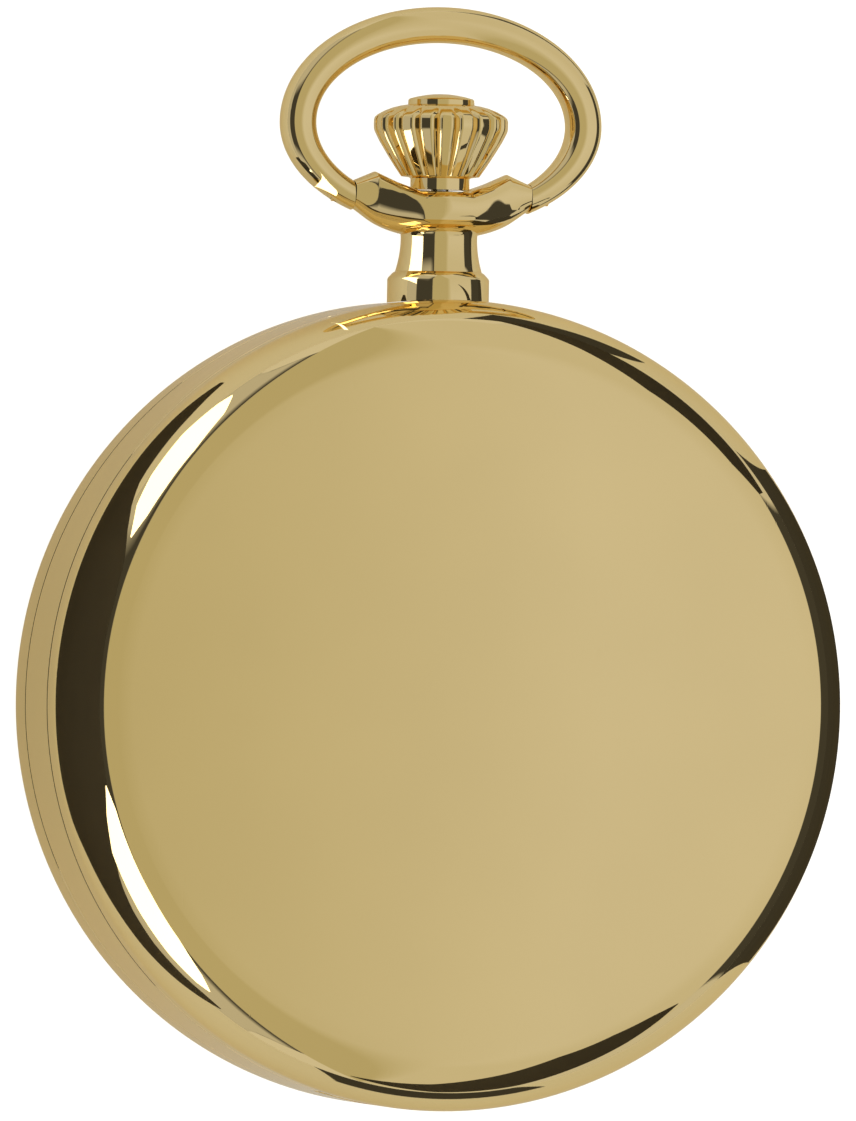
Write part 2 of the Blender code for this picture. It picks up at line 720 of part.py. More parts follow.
def balance():
    rim = [(3.7, BALANCE_Z), (4.2, BALANCE_Z), (4.2, BALANCE_Z + 0.3), (3.7, BALANCE_Z + 0.3)]
    wheel = turned("balance_wheel", rim, "brass", 24, BALANCE)
    x, y = BALANCE
    arm = box("arm", (x - 3.8, y - 0.3, BALANCE_Z + 0.05), (x + 3.8, y + 0.3, BALANCE_Z + 0.25))
    shaft = [
        (0.2, BRIDGE_Z + 0.05), (0.35, 4.1), (0.85, 4.68), (0.3, 4.86), (0.2, PLATE_Z - 0.05),
        (0, 6.2),
    ]
    join(wheel, arm, arbor("shaft", BALANCE, shaft))
    towards = direction(BALANCE, ESCAPE)
    join(wheel, disc("roller_pin", 0.1, 4.8, 5.15, polar(0.62, towards, BALANCE)))
    spiral("hairspring", BALANCE, 0.6, 3.3, 3, 0.1, 4.12, 4.22, 40)


def winding_works():
    aim = direction(CROWN_WHEEL, BARREL)
    low, high = WIND_Z, WIND_Z + 0.4
    outline = gear_outline(CROWN_WHEEL_TEETH, WIND_MODULE, CROWN_WHEEL, aim)
    cut(prism("crown_wheel", outline, low, high), *holes(2, 5, (CROWN_WHEEL, 0.55)))
    outline = gear_outline(RATCHET_TEETH, WIND_MODULE, BARREL, aim + 180, True)
    cut(prism("ratchet_wheel", outline, low, high), *holes(2, 5, (BARREL, 0.3)))
    for name, place, bore in (
        ("crown_wheel_screw", CROWN_WHEEL, 0.4),
        ("ratchet_screw", BARREL, 0.25),
    ):
        end = BRIDGE_Z + BRIDGE_T if place is CROWN_WHEEL else high
        arbor(name, place, [(1.1, low - 0.45), (bore, low - 0.05), (0, end)])
    x, y = polar(6.9, 25, BARREL)
    beak = polar(5.55, 8, BARREL)
    outline = [beak, (x - 0.1, y - 1.0), (x + 0.9, y - 0.4), (x + 0.7, y + 0.8), (x - 0.6, y + 0.5)]
    cut(prism("click", outline, low, high), *holes(2, 5, ((x, y), 0.33)))
    arbor("click_screw", (x, y), [(0.6, low - 0.3), (0.3, low - 0.05), (0, high)])
    outline = [(x - 0.5, y + 1.0), (x + 1.0, y + 1.1), (x - 1.2, y + 3.9), (x - 2.2, y + 3.4)]
    prism("click_spring", outline, low, high)


def screws():
    """Screws hold the movement to its ring and the bridges to the mainplate."""
    for name, angle in (("case_screw_left", 172), ("case_screw_right", -70)):
        place = polar(18.6, angle)
        screw_at(name, place, 3.35, 3.85)
    for name, place in (
        ("barrel_bridge_screw", polar(17, 2)),
        ("train_bridge_screw", (-10.5, 2.5)),
        ("balance_cock_screw", (15.0, -8.6)),
    ):
        screw_at(name, place, BRIDGE_Z - 0.35, BRIDGE_Z - RUN)


def screw_at(name, place, low, high):
    return disc(name, 0.75, low, high, place)


# Dial side


def motion_works():
    aim = direction(CENTRE, MINUTE_WHEEL)
    outline = gear_outline(CANNON_TEETH, MINUTE_MODULE, CENTRE, aim, True, 0.1)
    cannon = prism("cannon_pinion", outline, 6.35, 6.6)
    join(cannon, arbor("tube", CENTRE, [(0.6, 6.5), (0.45, 8.2), (0, 8.75)]))
    cut(cannon, disc("bore", 0.4, 6.0, 7.0))
    outline = gear_outline(MINUTE_TEETH, MINUTE_MODULE, MINUTE_WHEEL, aim + 180)
    wheel = prism("minute_wheel", outline, 6.38, 6.53, "brass")
    pinion = gear_outline(MINUTE_PINION, HOUR_MODULE, MINUTE_WHEEL, aim + 180, True, 0.1)
    join(wheel, prism("pinion", pinion, 6.5, 6.95))
    join(wheel, arbor("post", MINUTE_WHEEL, [(0.22, 5.85), (0, 6.6)]))
    outline = gear_outline(HOUR_TEETH, HOUR_MODULE, CENTRE, aim)
    hour = prism("hour_wheel", outline, 6.68, 6.85, "brass")
    join(hour, disc("tube", 1.0, 6.7, 8.2))
    cut(hour, disc("bore", 0.68, 6, 9))


def hand(name, place, hub, bore, low, spots):
    """A hand: a bored hub, and a blade through the spots, each (along, half width)."""
    high = low + HAND_T
    x, y = place
    outline = [(x + half, y + along) for along, half in spots]
    outline += [(x - half, y + along) for along, half in reversed(spots) if half]
    blade = prism(name, outline, low, high, "blued_steel")
    join(blade, disc("hub", hub, low - RUN, high + RUN, place))
    return cut(blade, disc("bore", bore, low - 1, high + 1, place))


def hands():
    point = [(-3.2, 0.3), (0, 0.45), (4.5, 0.35), (6.0, 0.75), (7.5, 0.3), (9.8, 0)]
    hand("hour_hand", CENTRE, 1.5, 1.03, HOUR_HAND_Z, point)
    point = [(-3.4, 0.28), (0, 0.4), (11.0, 0.28), (12.5, 0.5), (14.0, 0.22), (17.2, 0)]
    hand("minute_hand", CENTRE, 1.1, 0.47, MINUTE_HAND_Z, point)
    point = [(-1.3, 0.14), (0, 0.14), (3.2, 0)]
    hand("seconds_hand", SECONDS, 0.5, 0.24, SECONDS_HAND_Z, point)


# Placing

PIVOTS = {
    "front_lid": (0, HINGE_Y, HINGE_Z),
    "bow": (0, PIVOT_Y, STEM_Z),
    "crown": (0, 32.7, STEM_Z),
    "winding_stem": (0, 12.6, STEM_Z),
    "winding_pinion": (0, 14.7, STEM_Z),
    "sliding_pinion": (0, 12.7, STEM_Z),
    "lock_spring": (*polar(23.05, 35), 5.4),
    "crown_wheel": (*CROWN_WHEEL, WIND_Z),
    "click": (*polar(6.9, 25, BARREL), WIND_Z),
    "centre_wheel": (*CENTRE, CENTRE_WHEEL_Z),
    "third_wheel": (*THIRD, THIRD_WHEEL_Z),
    "fourth_wheel": (*SECONDS, FOURTH_WHEEL_Z),
    "escape_wheel": (*ESCAPE, THIRD_WHEEL_Z),
    "pallet_fork": (*pallet_pivot(), THIRD_WHEEL_Z),
    "balance_wheel": (*BALANCE, BALANCE_Z),
    "minute_wheel": (*MINUTE_WHEEL, 6.4),
    "ratchet_wheel": (*BARREL, WIND_Z),
    "ratchet_screw": (*BARREL, WIND_Z),
    "barrel_arbor": (*BARREL, WIND_Z),
    "mainspring_barrel": (*BARREL, WIND_Z),
    "barrel_cover": (*BARREL, WIND_Z),
    "mainspring": (*BARREL, WIND_Z),
    "seconds_hand": (*SECONDS, SECONDS_HAND_Z),
}


def place_origin(obj):
    """Moves the object's origin onto its joint's axis, then takes it to metres."""
    spot = Vector(PIVOTS.get(obj.name, (0, 0, 0)))
    obj.data.transform(Matrix.Translation(-spot))
    obj.data.transform(Matrix.Scale(MM, 4))
    obj.location = (spot + Vector((0, 0, BACK_DEPTH))) * MM


def smooth(obj, degrees=32):
    obj.data.shade_smooth()
    obj.data.set_sharp_from_angle(angle=math.radians(degrees))


def main():
    clear_scene()
    front_lid()
    case_band()
    back_cover()
    bezel()
    crystal()
    pendant()
    bow()
    bow_pins()
    crown()
    stem_parts()
    reach = 5.9
    bar_along_x("lid_hinge_pin", HINGE_PIN_R, -reach, reach, HINGE_Y, HINGE_Z)
    springs()
    plates()
    bridges()
    jewels()
    going_train()
    winding_works()
    screws()
    motion_works()
    hands()
    for obj in bpy.data.objects:
        place_origin(obj)
        smooth(obj)


main()
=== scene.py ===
"""Looks of the pocket watch: polished gold case, dial and hands, with the CAD's movement.

Lengths are in millimetres and are turned into metres when a mesh is made. Places come from
the frame's own boxes.
"""

import math

import bmesh
import bpy
import numpy as np
from mathutils import Matrix, Vector


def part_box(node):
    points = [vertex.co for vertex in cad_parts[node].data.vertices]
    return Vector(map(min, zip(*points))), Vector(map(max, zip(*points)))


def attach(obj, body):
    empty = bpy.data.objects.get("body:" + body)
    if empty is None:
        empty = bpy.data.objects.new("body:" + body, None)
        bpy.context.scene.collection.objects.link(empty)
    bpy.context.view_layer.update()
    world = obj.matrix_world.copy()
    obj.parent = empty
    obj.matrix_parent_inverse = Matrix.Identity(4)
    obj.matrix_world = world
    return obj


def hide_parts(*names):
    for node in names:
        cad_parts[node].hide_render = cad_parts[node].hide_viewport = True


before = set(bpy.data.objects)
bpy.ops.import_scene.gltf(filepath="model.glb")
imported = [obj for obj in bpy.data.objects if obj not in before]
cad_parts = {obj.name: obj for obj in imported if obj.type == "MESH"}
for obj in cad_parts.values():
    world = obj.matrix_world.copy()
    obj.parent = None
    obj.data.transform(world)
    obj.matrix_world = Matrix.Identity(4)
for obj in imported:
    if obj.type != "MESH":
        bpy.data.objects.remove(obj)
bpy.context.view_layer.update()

MM = 0.001
FINE = 256
ROUND = 96


def box_mm(node):
    low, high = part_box(node)
    return low / MM, high / MM


_, LID_HIGH = box_mm("front_lid")
BAND_LOW, BAND_HIGH = box_mm("case_band")
BACK_LOW, _ = box_mm("back_cover")
BEZEL_LOW, BEZEL_HIGH = box_mm("bezel")
GLASS_LOW, GLASS_HIGH = box_mm("crystal")
DIAL_LOW, DIAL_HIGH = box_mm("dial")
_, PENDANT_HIGH = box_mm("pendant")
BOW_LOW, BOW_HIGH = box_mm("bow")
PIN_LOW, PIN_HIGH = box_mm("lid_hinge_pin")
SECONDS_LOW, SECONDS_HIGH = box_mm("seconds_hand")

CASE_R = BAND_HIGH.x
STEM_Z = (BOW_LOW.z + BOW_HIGH.z) / 2
HINGE_Y = (PIN_LOW.y + PIN_HIGH.y) / 2
HINGE_Z = (PIN_LOW.z + PIN_HIGH.z) / 2
LID_SEAM = 0.06
LID_RIM = BAND_HIGH.z + LID_SEAM


# Mesh building


def add(name, points, faces, finish, body, replaced=(), sharp=32):
    """A smooth-shaded piece that rides on a body and stands for CAD nodes."""
    mesh = bpy.data.meshes.new(name)
    mesh.from_pydata([tuple(c * MM for c in point) for point in points], [], faces)
    shape = bmesh.new()
    shape.from_mesh(mesh)
    bmesh.ops.recalc_face_normals(shape, faces=shape.faces)
    shape.to_mesh(mesh)
    shape.free()
    obj = bpy.data.objects.new(name, mesh)
    bpy.context.scene.collection.objects.link(obj)
    if finish:
        mesh.materials.append(finish)
    smooth(obj, sharp)
    if body:
        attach(obj, body)
    if replaced:
        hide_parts(*replaced)
    return obj


def smooth(obj, sharp):
    obj.data.shade_smooth()
    obj.data.set_sharp_from_angle(angle=math.radians(sharp))


def skin(rings, joined=False):
    """Points and faces of a skin over rings of equal counts."""
    count = len(rings[0])
    points = [point for ring in rings for point in ring]
    pairs = [(n, n + 1) for n in range(len(rings) - 1)]
    if joined:
        pairs.append((len(rings) - 1, 0))
    faces = []
    for low, high in pairs:
        for n in range(count):
            after = (n + 1) % count
            faces.append(
                (low * count + n, low * count + after, high * count + after, high * count + n)
            )
    if not joined:
        faces.append(tuple(reversed(range(count))))
        faces.append(tuple(range((len(rings) - 1) * count, len(rings) * count)))
    return points, faces


def polar(radius, degrees, centre=(0.0, 0.0)):
    angle = math.radians(degrees)
    return (centre[0] + radius * math.cos(angle), centre[1] + radius * math.sin(angle))


def revolve(outline, sides=FINE, centre=(0.0, 0.0)):
    """Points and faces of (radius, height) points turned about Z."""
    solid = outline[0][0] == 0
    rim = outline[1:-1] if solid else outline
    rings = [
        [(*polar(radius, 360 * n / sides, centre), height) for n in range(sides)]
        for radius, height in rim
    ]
    if not solid:
        return skin(rings, joined=True)
    points, faces = skin(rings)
    faces = faces[:-2]
    points += [(*centre, outline[0][1]), (*centre, outline[-1][1])]
    first, last, top = len(points) - 2, len(points) - 1, (len(rings) - 1) * sides
    for n in range(sides):
        after = (n + 1) % sides
        faces.append((first, after, n))
        faces.append((last, top + n, top + after))
    return points, faces


def along_stem(points):
    """Points turned about Z, stood on the stem's axis with their heights along +Y."""
    return [(x, z, STEM_Z - y) for x, y, z in points]


def arc(centre, radius, start, end, count):
    """Points of a circular arc, ends included."""
    return [
        (
            centre[0] + radius * math.cos(math.radians(a)),
            centre[1] + radius * math.sin(math.radians(a)),
        )
        for a in np.linspace(start, end, count)
    ]


def turned(name, outline, finish, body, replaced=(), sides=FINE, centre=(0.0, 0.0), sharp=32):
    points, faces = revolve(outline, sides, centre)
    return add(name, points, faces, finish, body, replaced, sharp)


def stem_turned(name, outline, finish=None, body=None, replaced=(), sides=ROUND):
    points, faces = revolve(outline, sides)
    return add(name, along_stem(points), faces, finish, body, replaced)


def prism(name, outline, low, high, finish=None, body=None, replaced=()):
    points, faces = skin([[(x, y, z) for x, y in outline] for z in (low, high)])
    return add(name, points, faces, finish, body, replaced)


def block(low, high):
    (x0, y0, z0), (x1, y1, z1) = low, high
    return prism("helper", [(x0, y0), (x1, y0), (x1, y1), (x0, y1)], z0, z1)


def rod_x(radius, low, high, y, z, sides=48):
    rings = [
        [(x, *polar(radius, 360 * n / sides, (y, z))) for n in range(sides)] for x in (low, high)
    ]
    points, faces = skin(rings)
    return add("helper", points, faces, None, None)


def combine(obj, other, operation, sharp=32):
    """Applies a Boolean, and removes the other shape."""
    modifier = obj.modifiers.new(operation, "BOOLEAN")
    modifier.operation = operation
    modifier.solver = "EXACT"
    modifier.object = other
    bpy.context.view_layer.update()
    graph = bpy.context.evaluated_depsgraph_get()
    made = bpy.data.meshes.new_from_object(obj.evaluated_get(graph))
    materials = list(obj.data.materials)
    obj.modifiers.clear()
    obj.data = made
    made.materials.clear()
    for found in materials:
        made.materials.append(found)
    bpy.data.objects.remove(other, do_unlink=True)
    smooth(obj, sharp)
    return obj


# Materials


class Nodes:
    """Short ways to add and link nodes in one material."""

    def __init__(self, name):
        self.material = bpy.data.materials.new(name)
        self.material.use_nodes = True
        self.tree = self.material.node_tree
        self.shader = self.tree.nodes["Principled BSDF"]
        self.place = self.add("ShaderNodeTexCoord").outputs["Object"]

    def add(self, kind, **settings):
        node = self.tree.nodes.new(kind)
        for key, value in settings.items():
            setattr(node, key, value)
        return node

    def link(self, start, end):
        self.tree.links.new(start, end)

    def set(self, **values):
        for key, value in values.items():
            self.shader.inputs[key.replace("_", " ")].default_value = value

    def noise(self, scale, detail=3.0, stretch=(1, 1, 1), rough=0.5):
        mapping = self.add("ShaderNodeMapping")
        mapping.inputs["Scale"].default_value = stretch
        self.link(self.place, mapping.inputs["Vector"])
        node = self.add("ShaderNodeTexNoise")
        node.inputs["Scale"].default_value = scale
        node.inputs["Detail"].default_value = detail
        node.inputs["Roughness"].default_value = rough
        self.link(mapping.outputs["Vector"], node.inputs["Vector"])
        return node.outputs["Fac"]

    def ramp(self, value, stops):
        node = self.add("ShaderNodeValToRGB")
        node.color_ramp.elements[0].position = stops[0][0]
        node.color_ramp.elements[1].position = stops[-1][0]
        for place, _ in stops[1:-1]:
            node.color_ramp.elements.new(place)
        for element, (_, colour) in zip(node.color_ramp.elements, stops):
            element.color = (*colour, 1) if len(colour) == 3 else colour
        self.link(value, node.inputs["Fac"])
        return node.outputs["Color"]

    def spread(self, value, low, high, start=0.3, end=0.7):
        node = self.add("ShaderNodeMapRange")
        node.inputs["From Min"].default_value = start
        node.inputs["From Max"].default_value = end
        node.inputs["To Min"].default_value = low
        node.inputs["To Max"].default_value = high
        self.link(value, node.inputs["Value"])
        return node.outputs["Result"]

    def bump(self, height, strength, distance):
        node = self.add("ShaderNodeBump")
        node.inputs["Strength"].default_value = strength
        node.inputs["Distance"].default_value = distance
        self.link(height, node.inputs["Height"])
        self.link(node.outputs["Normal"], self.shader.inputs["Normal"])
        return node


def shade(colour, factor):
    return tuple(min(1.0, c * factor) for c in colour)


GOLD = (0.93, 0.73, 0.36)
EDGE_TINT = (0.98, 0.88, 0.66)
BRASS = (0.80, 0.61, 0.30)
STEEL = (0.62, 0.62, 0.63)
BLUE = (0.02, 0.05, 0.22)
SCRATCH_DEPTH = 0.3


def polished_gold():
    """Bright plating: a faint cast, a slightly uneven polish, hairlines and a soft waviness."""
    made = Nodes("gold_plate")
    made.set(Metallic=1.0, Specular_Tint=(*EDGE_TINT, 1))
    cast = made.noise(90, 2)
    made.link(
        made.ramp(cast, [(0.3, shade(GOLD, 0.98)), (0.7, shade(GOLD, 1.01))]),
        made.shader.inputs["Base Color"],
    )
    hairs = made.noise(700, 5, (1, 9, 3), 0.7)
    made.link(made.spread(hairs, 0.02, 0.05), made.shader.inputs["Roughness"])
    upright = made.spread(made.noise(420, 1, (14, 0.9, 5)), 0.0, 1.0, 0.72, 0.78)
    level = made.spread(made.noise(300, 1, (0.8, 12, 4)), 0.0, 1.0, 0.73, 0.78)
    scratches = made.add("ShaderNodeMath", operation="ADD")
    made.link(upright, scratches.inputs[0])
    made.link(level, scratches.inputs[1])
    ripple = made.add("ShaderNodeMath", operation="MULTIPLY_ADD")
    made.link(scratches.outputs[0], ripple.inputs[0])
    ripple.inputs[1].default_value = -SCRATCH_DEPTH
    made.link(made.noise(160, 2), ripple.inputs[2])
    made.bump(ripple.outputs[0], 0.06, 0.00002)
    return made.material


def brushed(name, colour, roughness, line_scale=900):
    """Metal with parallel machining lines."""
    made = Nodes(name)
    made.set(Metallic=1.0)
    lines = made.noise(line_scale, 4, (1, 12, 1), 0.6)
    made.link(
        made.ramp(lines, [(0.25, shade(colour, 0.88)), (0.75, shade(colour, 1.05))]),
        made.shader.inputs["Base Color"],
    )
    made.link(made.spread(lines, roughness, roughness + 0.12), made.shader.inputs["Roughness"])
    made.bump(lines, 0.15, 0.00001)
    return made.material


def striped_brass():
    """Plates with broad finishing stripes over fine lines."""
    made = Nodes("striped_brass")
    made.set(Metallic=1.0)
    wave = made.add("ShaderNodeTexWave", wave_type="BANDS", bands_direction="DIAGONAL")
    wave.inputs["Scale"].default_value = 260
    wave.inputs["Distortion"].default_value = 0.4
    made.link(made.place, wave.inputs["Vector"])
    stripes = wave.outputs["Fac"]
    made.link(
        made.ramp(stripes, [(0.0, shade(BRASS, 0.85)), (1.0, shade(BRASS, 1.08))]),
        made.shader.inputs["Base Color"],
    )
    made.link(made.spread(stripes, 0.18, 0.36, 0.0, 1.0), made.shader.inputs["Roughness"])
    made.bump(made.noise(2600, 3, (1, 8, 1)), 0.1, 0.00001)
    return made.material


def blued_steel():
    made = Nodes("blued_steel")
    made.set(Metallic=1.0)
    tint = made.noise(400, 2)
    made.link(
        made.ramp(tint, [(0.3, BLUE), (0.7, (0.03, 0.09, 0.32))]),
        made.shader.inputs["Base Color"],
    )
    made.link(made.spread(made.noise(2500), 0.12, 0.22), made.shader.inputs["Roughness"])
    return made.material


def enamel():
    """Fired white enamel: creamy, glossy, a little uneven."""
    made = Nodes("enamel")
    made.set(Coat_Weight=0.6, Coat_Roughness=0.05)
    tint = made.noise(140, 3)
    made.link(
        made.ramp(tint, [(0.3, (0.83, 0.81, 0.75)), (0.7, (0.88, 0.87, 0.82))]),
        made.shader.inputs["Base Color"],
    )
    made.link(made.spread(made.noise(600), 0.18, 0.3), made.shader.inputs["Roughness"])
    made.bump(made.noise(350, 2), 0.08, 0.00001)
    return made.material


def print_ink():
    made = Nodes("print_ink")
    grain = made.noise(5000, 3)
    made.link(
        made.ramp(grain, [(0.3, (0.012, 0.012, 0.014)), (0.7, (0.03, 0.03, 0.032))]),
        made.shader.inputs["Base Color"],
    )
    made.link(made.spread(grain, 0.3, 0.45), made.shader.inputs["Roughness"])
    return made.material


def glass():
    made = Nodes("crystal")
    made.set(Transmission_Weight=1.0, IOR=1.45)
    marks = made.noise(300, 4, (1, 6, 1))
    made.link(
        made.ramp(marks, [(0.3, (0.96, 0.98, 0.98)), (0.7, (0.98, 0.99, 0.99))]),
        made.shader.inputs["Base Color"],
    )
    made.link(made.spread(marks, 0.0, 0.012), made.shader.inputs["Roughness"])
    return made.material


def ruby():
    made = Nodes("ruby")
    made.set(Transmission_Weight=0.4, IOR=1.76)
    depth = made.noise(900, 2)
    made.link(
        made.ramp(depth, [(0.3, (0.36, 0.01, 0.05)), (0.7, (0.55, 0.03, 0.10))]),
        made.shader.inputs["Base Color"],
    )
    made.link(made.spread(depth, 0.04, 0.12), made.shader.inputs["Roughness"])
    return made.material


def nylon():
    made = Nodes("nylon")
    made.set(Subsurface_Weight=0.1, Subsurface_Scale=0.0005)
    grain = made.noise(1200, 3)
    made.link(
        made.ramp(grain, [(0.3, (0.76, 0.76, 0.73)), (0.7, (0.82, 0.82, 0.80))]),
        made.shader.inputs["Base Color"],
    )
    made.link(made.spread(grain, 0.45, 0.6), made.shader.inputs["Roughness"])
    made.bump(grain, 0.2, 0.00002)
    return made.material


gold = polished_gold()
steel = brushed("steel", STEEL, 0.16)
brass = brushed("brass", BRASS, 0.22)
plate_brass = striped_brass()
blue = blued_steel()
white_enamel = enamel()
ink = print_ink()
clear = glass()
jewel = ruby()
holder_nylon = nylon()


# Case


SHOULDER_WIDE = 3.4
SHOULDER_HIGH = 4.0
DOME_RISE = 0.4
SHELL = 0.7
EDGE = 0.07
BACK_EDGE_R = 1.6
BACK_FLAT_R = 20.0
BACK_RISE = 0.12
SNAP_R = 23.55
SNAP_T = 0.55
SNAP_HIGH = 0.9
KNUCKLE_R = 0.75
KNUCKLE_SPLIT = 2.42
HINGE_HALF = 7.38
HINGE_SLOT = 0.95
RUN = 0.03
PIN_BORE_R = PIN_HIGH.z - HINGE_Z + RUN


def lid_profile(inset=0.0):
    """The lid's side from the top of its wall to the centre of its dome, moved inwards."""
    flat_r = CASE_R - SHOULDER_WIDE
    centre_z = LID_HIGH.z - DOME_RISE - SHOULDER_HIGH
    wide, high = SHOULDER_WIDE - inset, SHOULDER_HIGH - inset
    slope = 2 * DOME_RISE / flat_r
    last = math.pi / 2 - math.atan(slope * wide / high)
    shoulder = [
        (flat_r + wide * math.cos(a), centre_z + high * math.sin(a))
        for a in np.linspace(0, last, 28)
    ]
    join_r, join_z = shoulder[-1]
    dome = [
        (r, join_z + slope / 2 * (join_r**2 - r**2) / join_r)
        for r in np.linspace(join_r, 0, 26)[1:]
    ]
    return [*shoulder, *dome]


def hinge_knuckle(low, high):
    return rod_x(KNUCKLE_R, low, high, HINGE_Y, HINGE_Z)


def hinge_slot(low, high):
    return block((-HINGE_HALF, -CASE_R - 1, low), (HINGE_HALF, HINGE_Y + HINGE_SLOT, high))


def front_lid():
    """Domed shell with the middle knuckle of its hinge, hollowed and bored for the pin."""
    rim = LID_RIM
    outside = [(CASE_R - EDGE, rim), (CASE_R, rim + EDGE), *lid_profile()]
    lid = turned("lid_shell", [(0, rim), *outside], gold, "lid", ["front_lid"])
    hollow = [(0, rim - 1), (CASE_R - SHELL, rim - 1), *lid_profile(SHELL)]
    combine(lid, turned("helper", hollow, None, None), "DIFFERENCE")
    combine(lid, hinge_slot(HINGE_Z - 1, HINGE_Z + 1.3), "DIFFERENCE")
    knuckle = hinge_knuckle(-KNUCKLE_SPLIT, KNUCKLE_SPLIT)
    leaf = block(
        (0.1 - KNUCKLE_SPLIT, HINGE_Y - 0.65, HINGE_Z + 0.05),
        (KNUCKLE_SPLIT - 0.1, HINGE_Y - 0.05, HINGE_Z + 1.8),
    )
    combine(knuckle, leaf, "UNION")
    combine(lid, knuckle, "UNION")
    bore = rod_x(PIN_BORE_R, -HINGE_HALF, HINGE_HALF, HINGE_Y, HINGE_Z)
    return combine(lid, bore, "DIFFERENCE")


BAND_BORE_R = 23.62
FLANGE_R = 22.3
FLANGE_T = 0.52
SLEEVE_HOLE_R = 1.73


def case_band():
    """Ring with an inner flange, the hinge's outer knuckles and the stem sleeve's hole."""
    low, high = BAND_LOW.z, BAND_HIGH.z
    top = LID_RIM - LID_SEAM
    outline = [
        (CASE_R - EDGE, low),
        (CASE_R, low + EDGE),
        (CASE_R, top - EDGE),
        (CASE_R - EDGE, top),
        (FLANGE_R + EDGE, top),
        (FLANGE_R, top - EDGE),
        (FLANGE_R, top - FLANGE_T),
        (BAND_BORE_R, top - FLANGE_T),
        (BAND_BORE_R, low),
    ]
    band = turned("band_shell", outline, gold, "case", ["case_band"])
    combine(band, hinge_slot(HINGE_Z - 0.85, high + 1), "DIFFERENCE")
    for side in (-1, 1):
        ends = sorted((side * (KNUCKLE_SPLIT + RUN), side * (HINGE_HALF - RUN)))
        knuckle = hinge_knuckle(*ends)
        web = block(
            (ends[0], HINGE_Y - 0.6, HINGE_Z - 1.1), (ends[1], HINGE_Y + 0.6, HINGE_Z - 0.3)
        )
        combine(knuckle, web, "UNION")
        trim = [(0, 0), (CASE_R - RUN, 0), (CASE_R - RUN, LID_HIGH.z), (0, LID_HIGH.z)]
        combine(knuckle, turned("helper", trim, None, None), "INTERSECT")
        combine(band, knuckle, "UNION")
    bore = rod_x(PIN_BORE_R, -HINGE_HALF, HINGE_HALF, HINGE_Y, HINGE_Z)
    combine(band, bore, "DIFFERENCE")
    hole = [(0, 20), (SLEEVE_HOLE_R, 20), (SLEEVE_HOLE_R, CASE_R + 2), (0, CASE_R + 2)]
    return combine(band, stem_turned("helper", hole), "DIFFERENCE")


def back_cover():
    """Flat-backed shell with a snap rim that enters the band."""
    low, high = BACK_LOW.z, BAND_LOW.z - RUN
    edge_r, edge_z = CASE_R - BACK_EDGE_R, low + BACK_RISE + BACK_EDGE_R
    edge = [
        (edge_r + BACK_EDGE_R * math.sin(a), edge_z - BACK_EDGE_R * math.cos(a))
        for a in np.linspace(0, math.pi / 2, 16)
    ]
    floor = low + BACK_RISE + SHELL
    outline = [
        (0, low),
        (BACK_FLAT_R, low),
        *edge,
        (CASE_R, high - EDGE),
        (CASE_R - EDGE, high),
        (SNAP_R, high),
        (SNAP_R, high + SNAP_HIGH),
        (SNAP_R - SNAP_T, high + SNAP_HIGH),
        (SNAP_R - SNAP_T, high - 0.4),
        (22.8, floor + 0.3),
        (BACK_FLAT_R, floor),
        (0, floor),
    ]
    return turned("back_shell", outline, gold, "case", ["back_cover"], sharp=24)


def bezel():
    low, top = BEZEL_LOW.z, BEZEL_HIGH.z
    outer, inner, seat_r = 22.9, 20.9, 21.98
    roll_r, seat_z = 0.9, top - 0.92
    rolled = arc((outer - roll_r, top - roll_r), roll_r, 0, 80, 12)
    outline = [
        (inner, low),
        (outer - EDGE, low),
        (outer, low + EDGE),
        *rolled,
        (seat_r, top - 0.05),
        (seat_r, seat_z),
        (inner + EDGE, seat_z),
        (inner, seat_z - 0.06),
    ]
    return turned("bezel_ring", outline, gold, "case", ["bezel"])


def crystal():
    """Domed glass of even thickness."""
    low, high = GLASS_LOW.z, GLASS_HIGH.z
    rim_r, wall, thick = GLASS_HIGH.x, 0.79, 1.0
    rise = high - low - wall
    radii = np.linspace(rim_r, 0, 30)
    top = [(r, low + wall + rise * (1 - (r / rim_r) ** 2)) for r in radii]
    under = [(r, max(low, z - thick)) for r, z in reversed(top)]
    return turned("watch_glass", [*under, *top], clear, "case", ["crystal"])


# Pendant, bow and crown


SADDLE_HALF = PENDANT_HIGH.x
SADDLE_EAR = 4.2
SADDLE_HIP = 0.64
SADDLE_TOP = ((0, 31.8), (1.6, 31.8), (2.9, 32.3), (SADDLE_EAR, 32.9), (SADDLE_HALF, 32.3))
SADDLE_KEEL = ((0, 28.9), (2.0, 29.0), (4.0, 29.6), (SADDLE_HALF, 30.65))
SADDLE_DEPTH = (
    (0, 2.9), (0.7, 2.86), (1.4, 2.72), (2.4, 2.34), (3.8, 1.68), (4.7, 1.35), (SADDLE_HALF, 1.25),
)
PIVOT_Y = 31.45
BOW_PIN_R = 0.45


def eased(x, knots):
    """A smooth curve through (place, value) knots, level at both ends."""
    places = [place for place, _ in knots]
    values = [value for _, value in knots]
    slopes = [0.0]
    for n in range(1, len(knots) - 1):
        slopes.append((values[n + 1] - values[n - 1]) / (places[n + 1] - places[n - 1]))
    slopes.append((values[-1] - values[-2]) / (places[-1] - places[-2]))
    n = min(max(int(np.searchsorted(places, x)) - 1, 0), len(knots) - 2)
    span = places[n + 1] - places[n]
    t = (x - places[n]) / span
    return (
        (2 * t**3 - 3 * t**2 + 1) * values[n]
        + (t**3 - 2 * t**2 + t) * span * slopes[n]
        + (3 * t**2 - 2 * t**3) * values[n + 1]
        + (t**3 - t**2) * span * slopes[n + 1]
    )


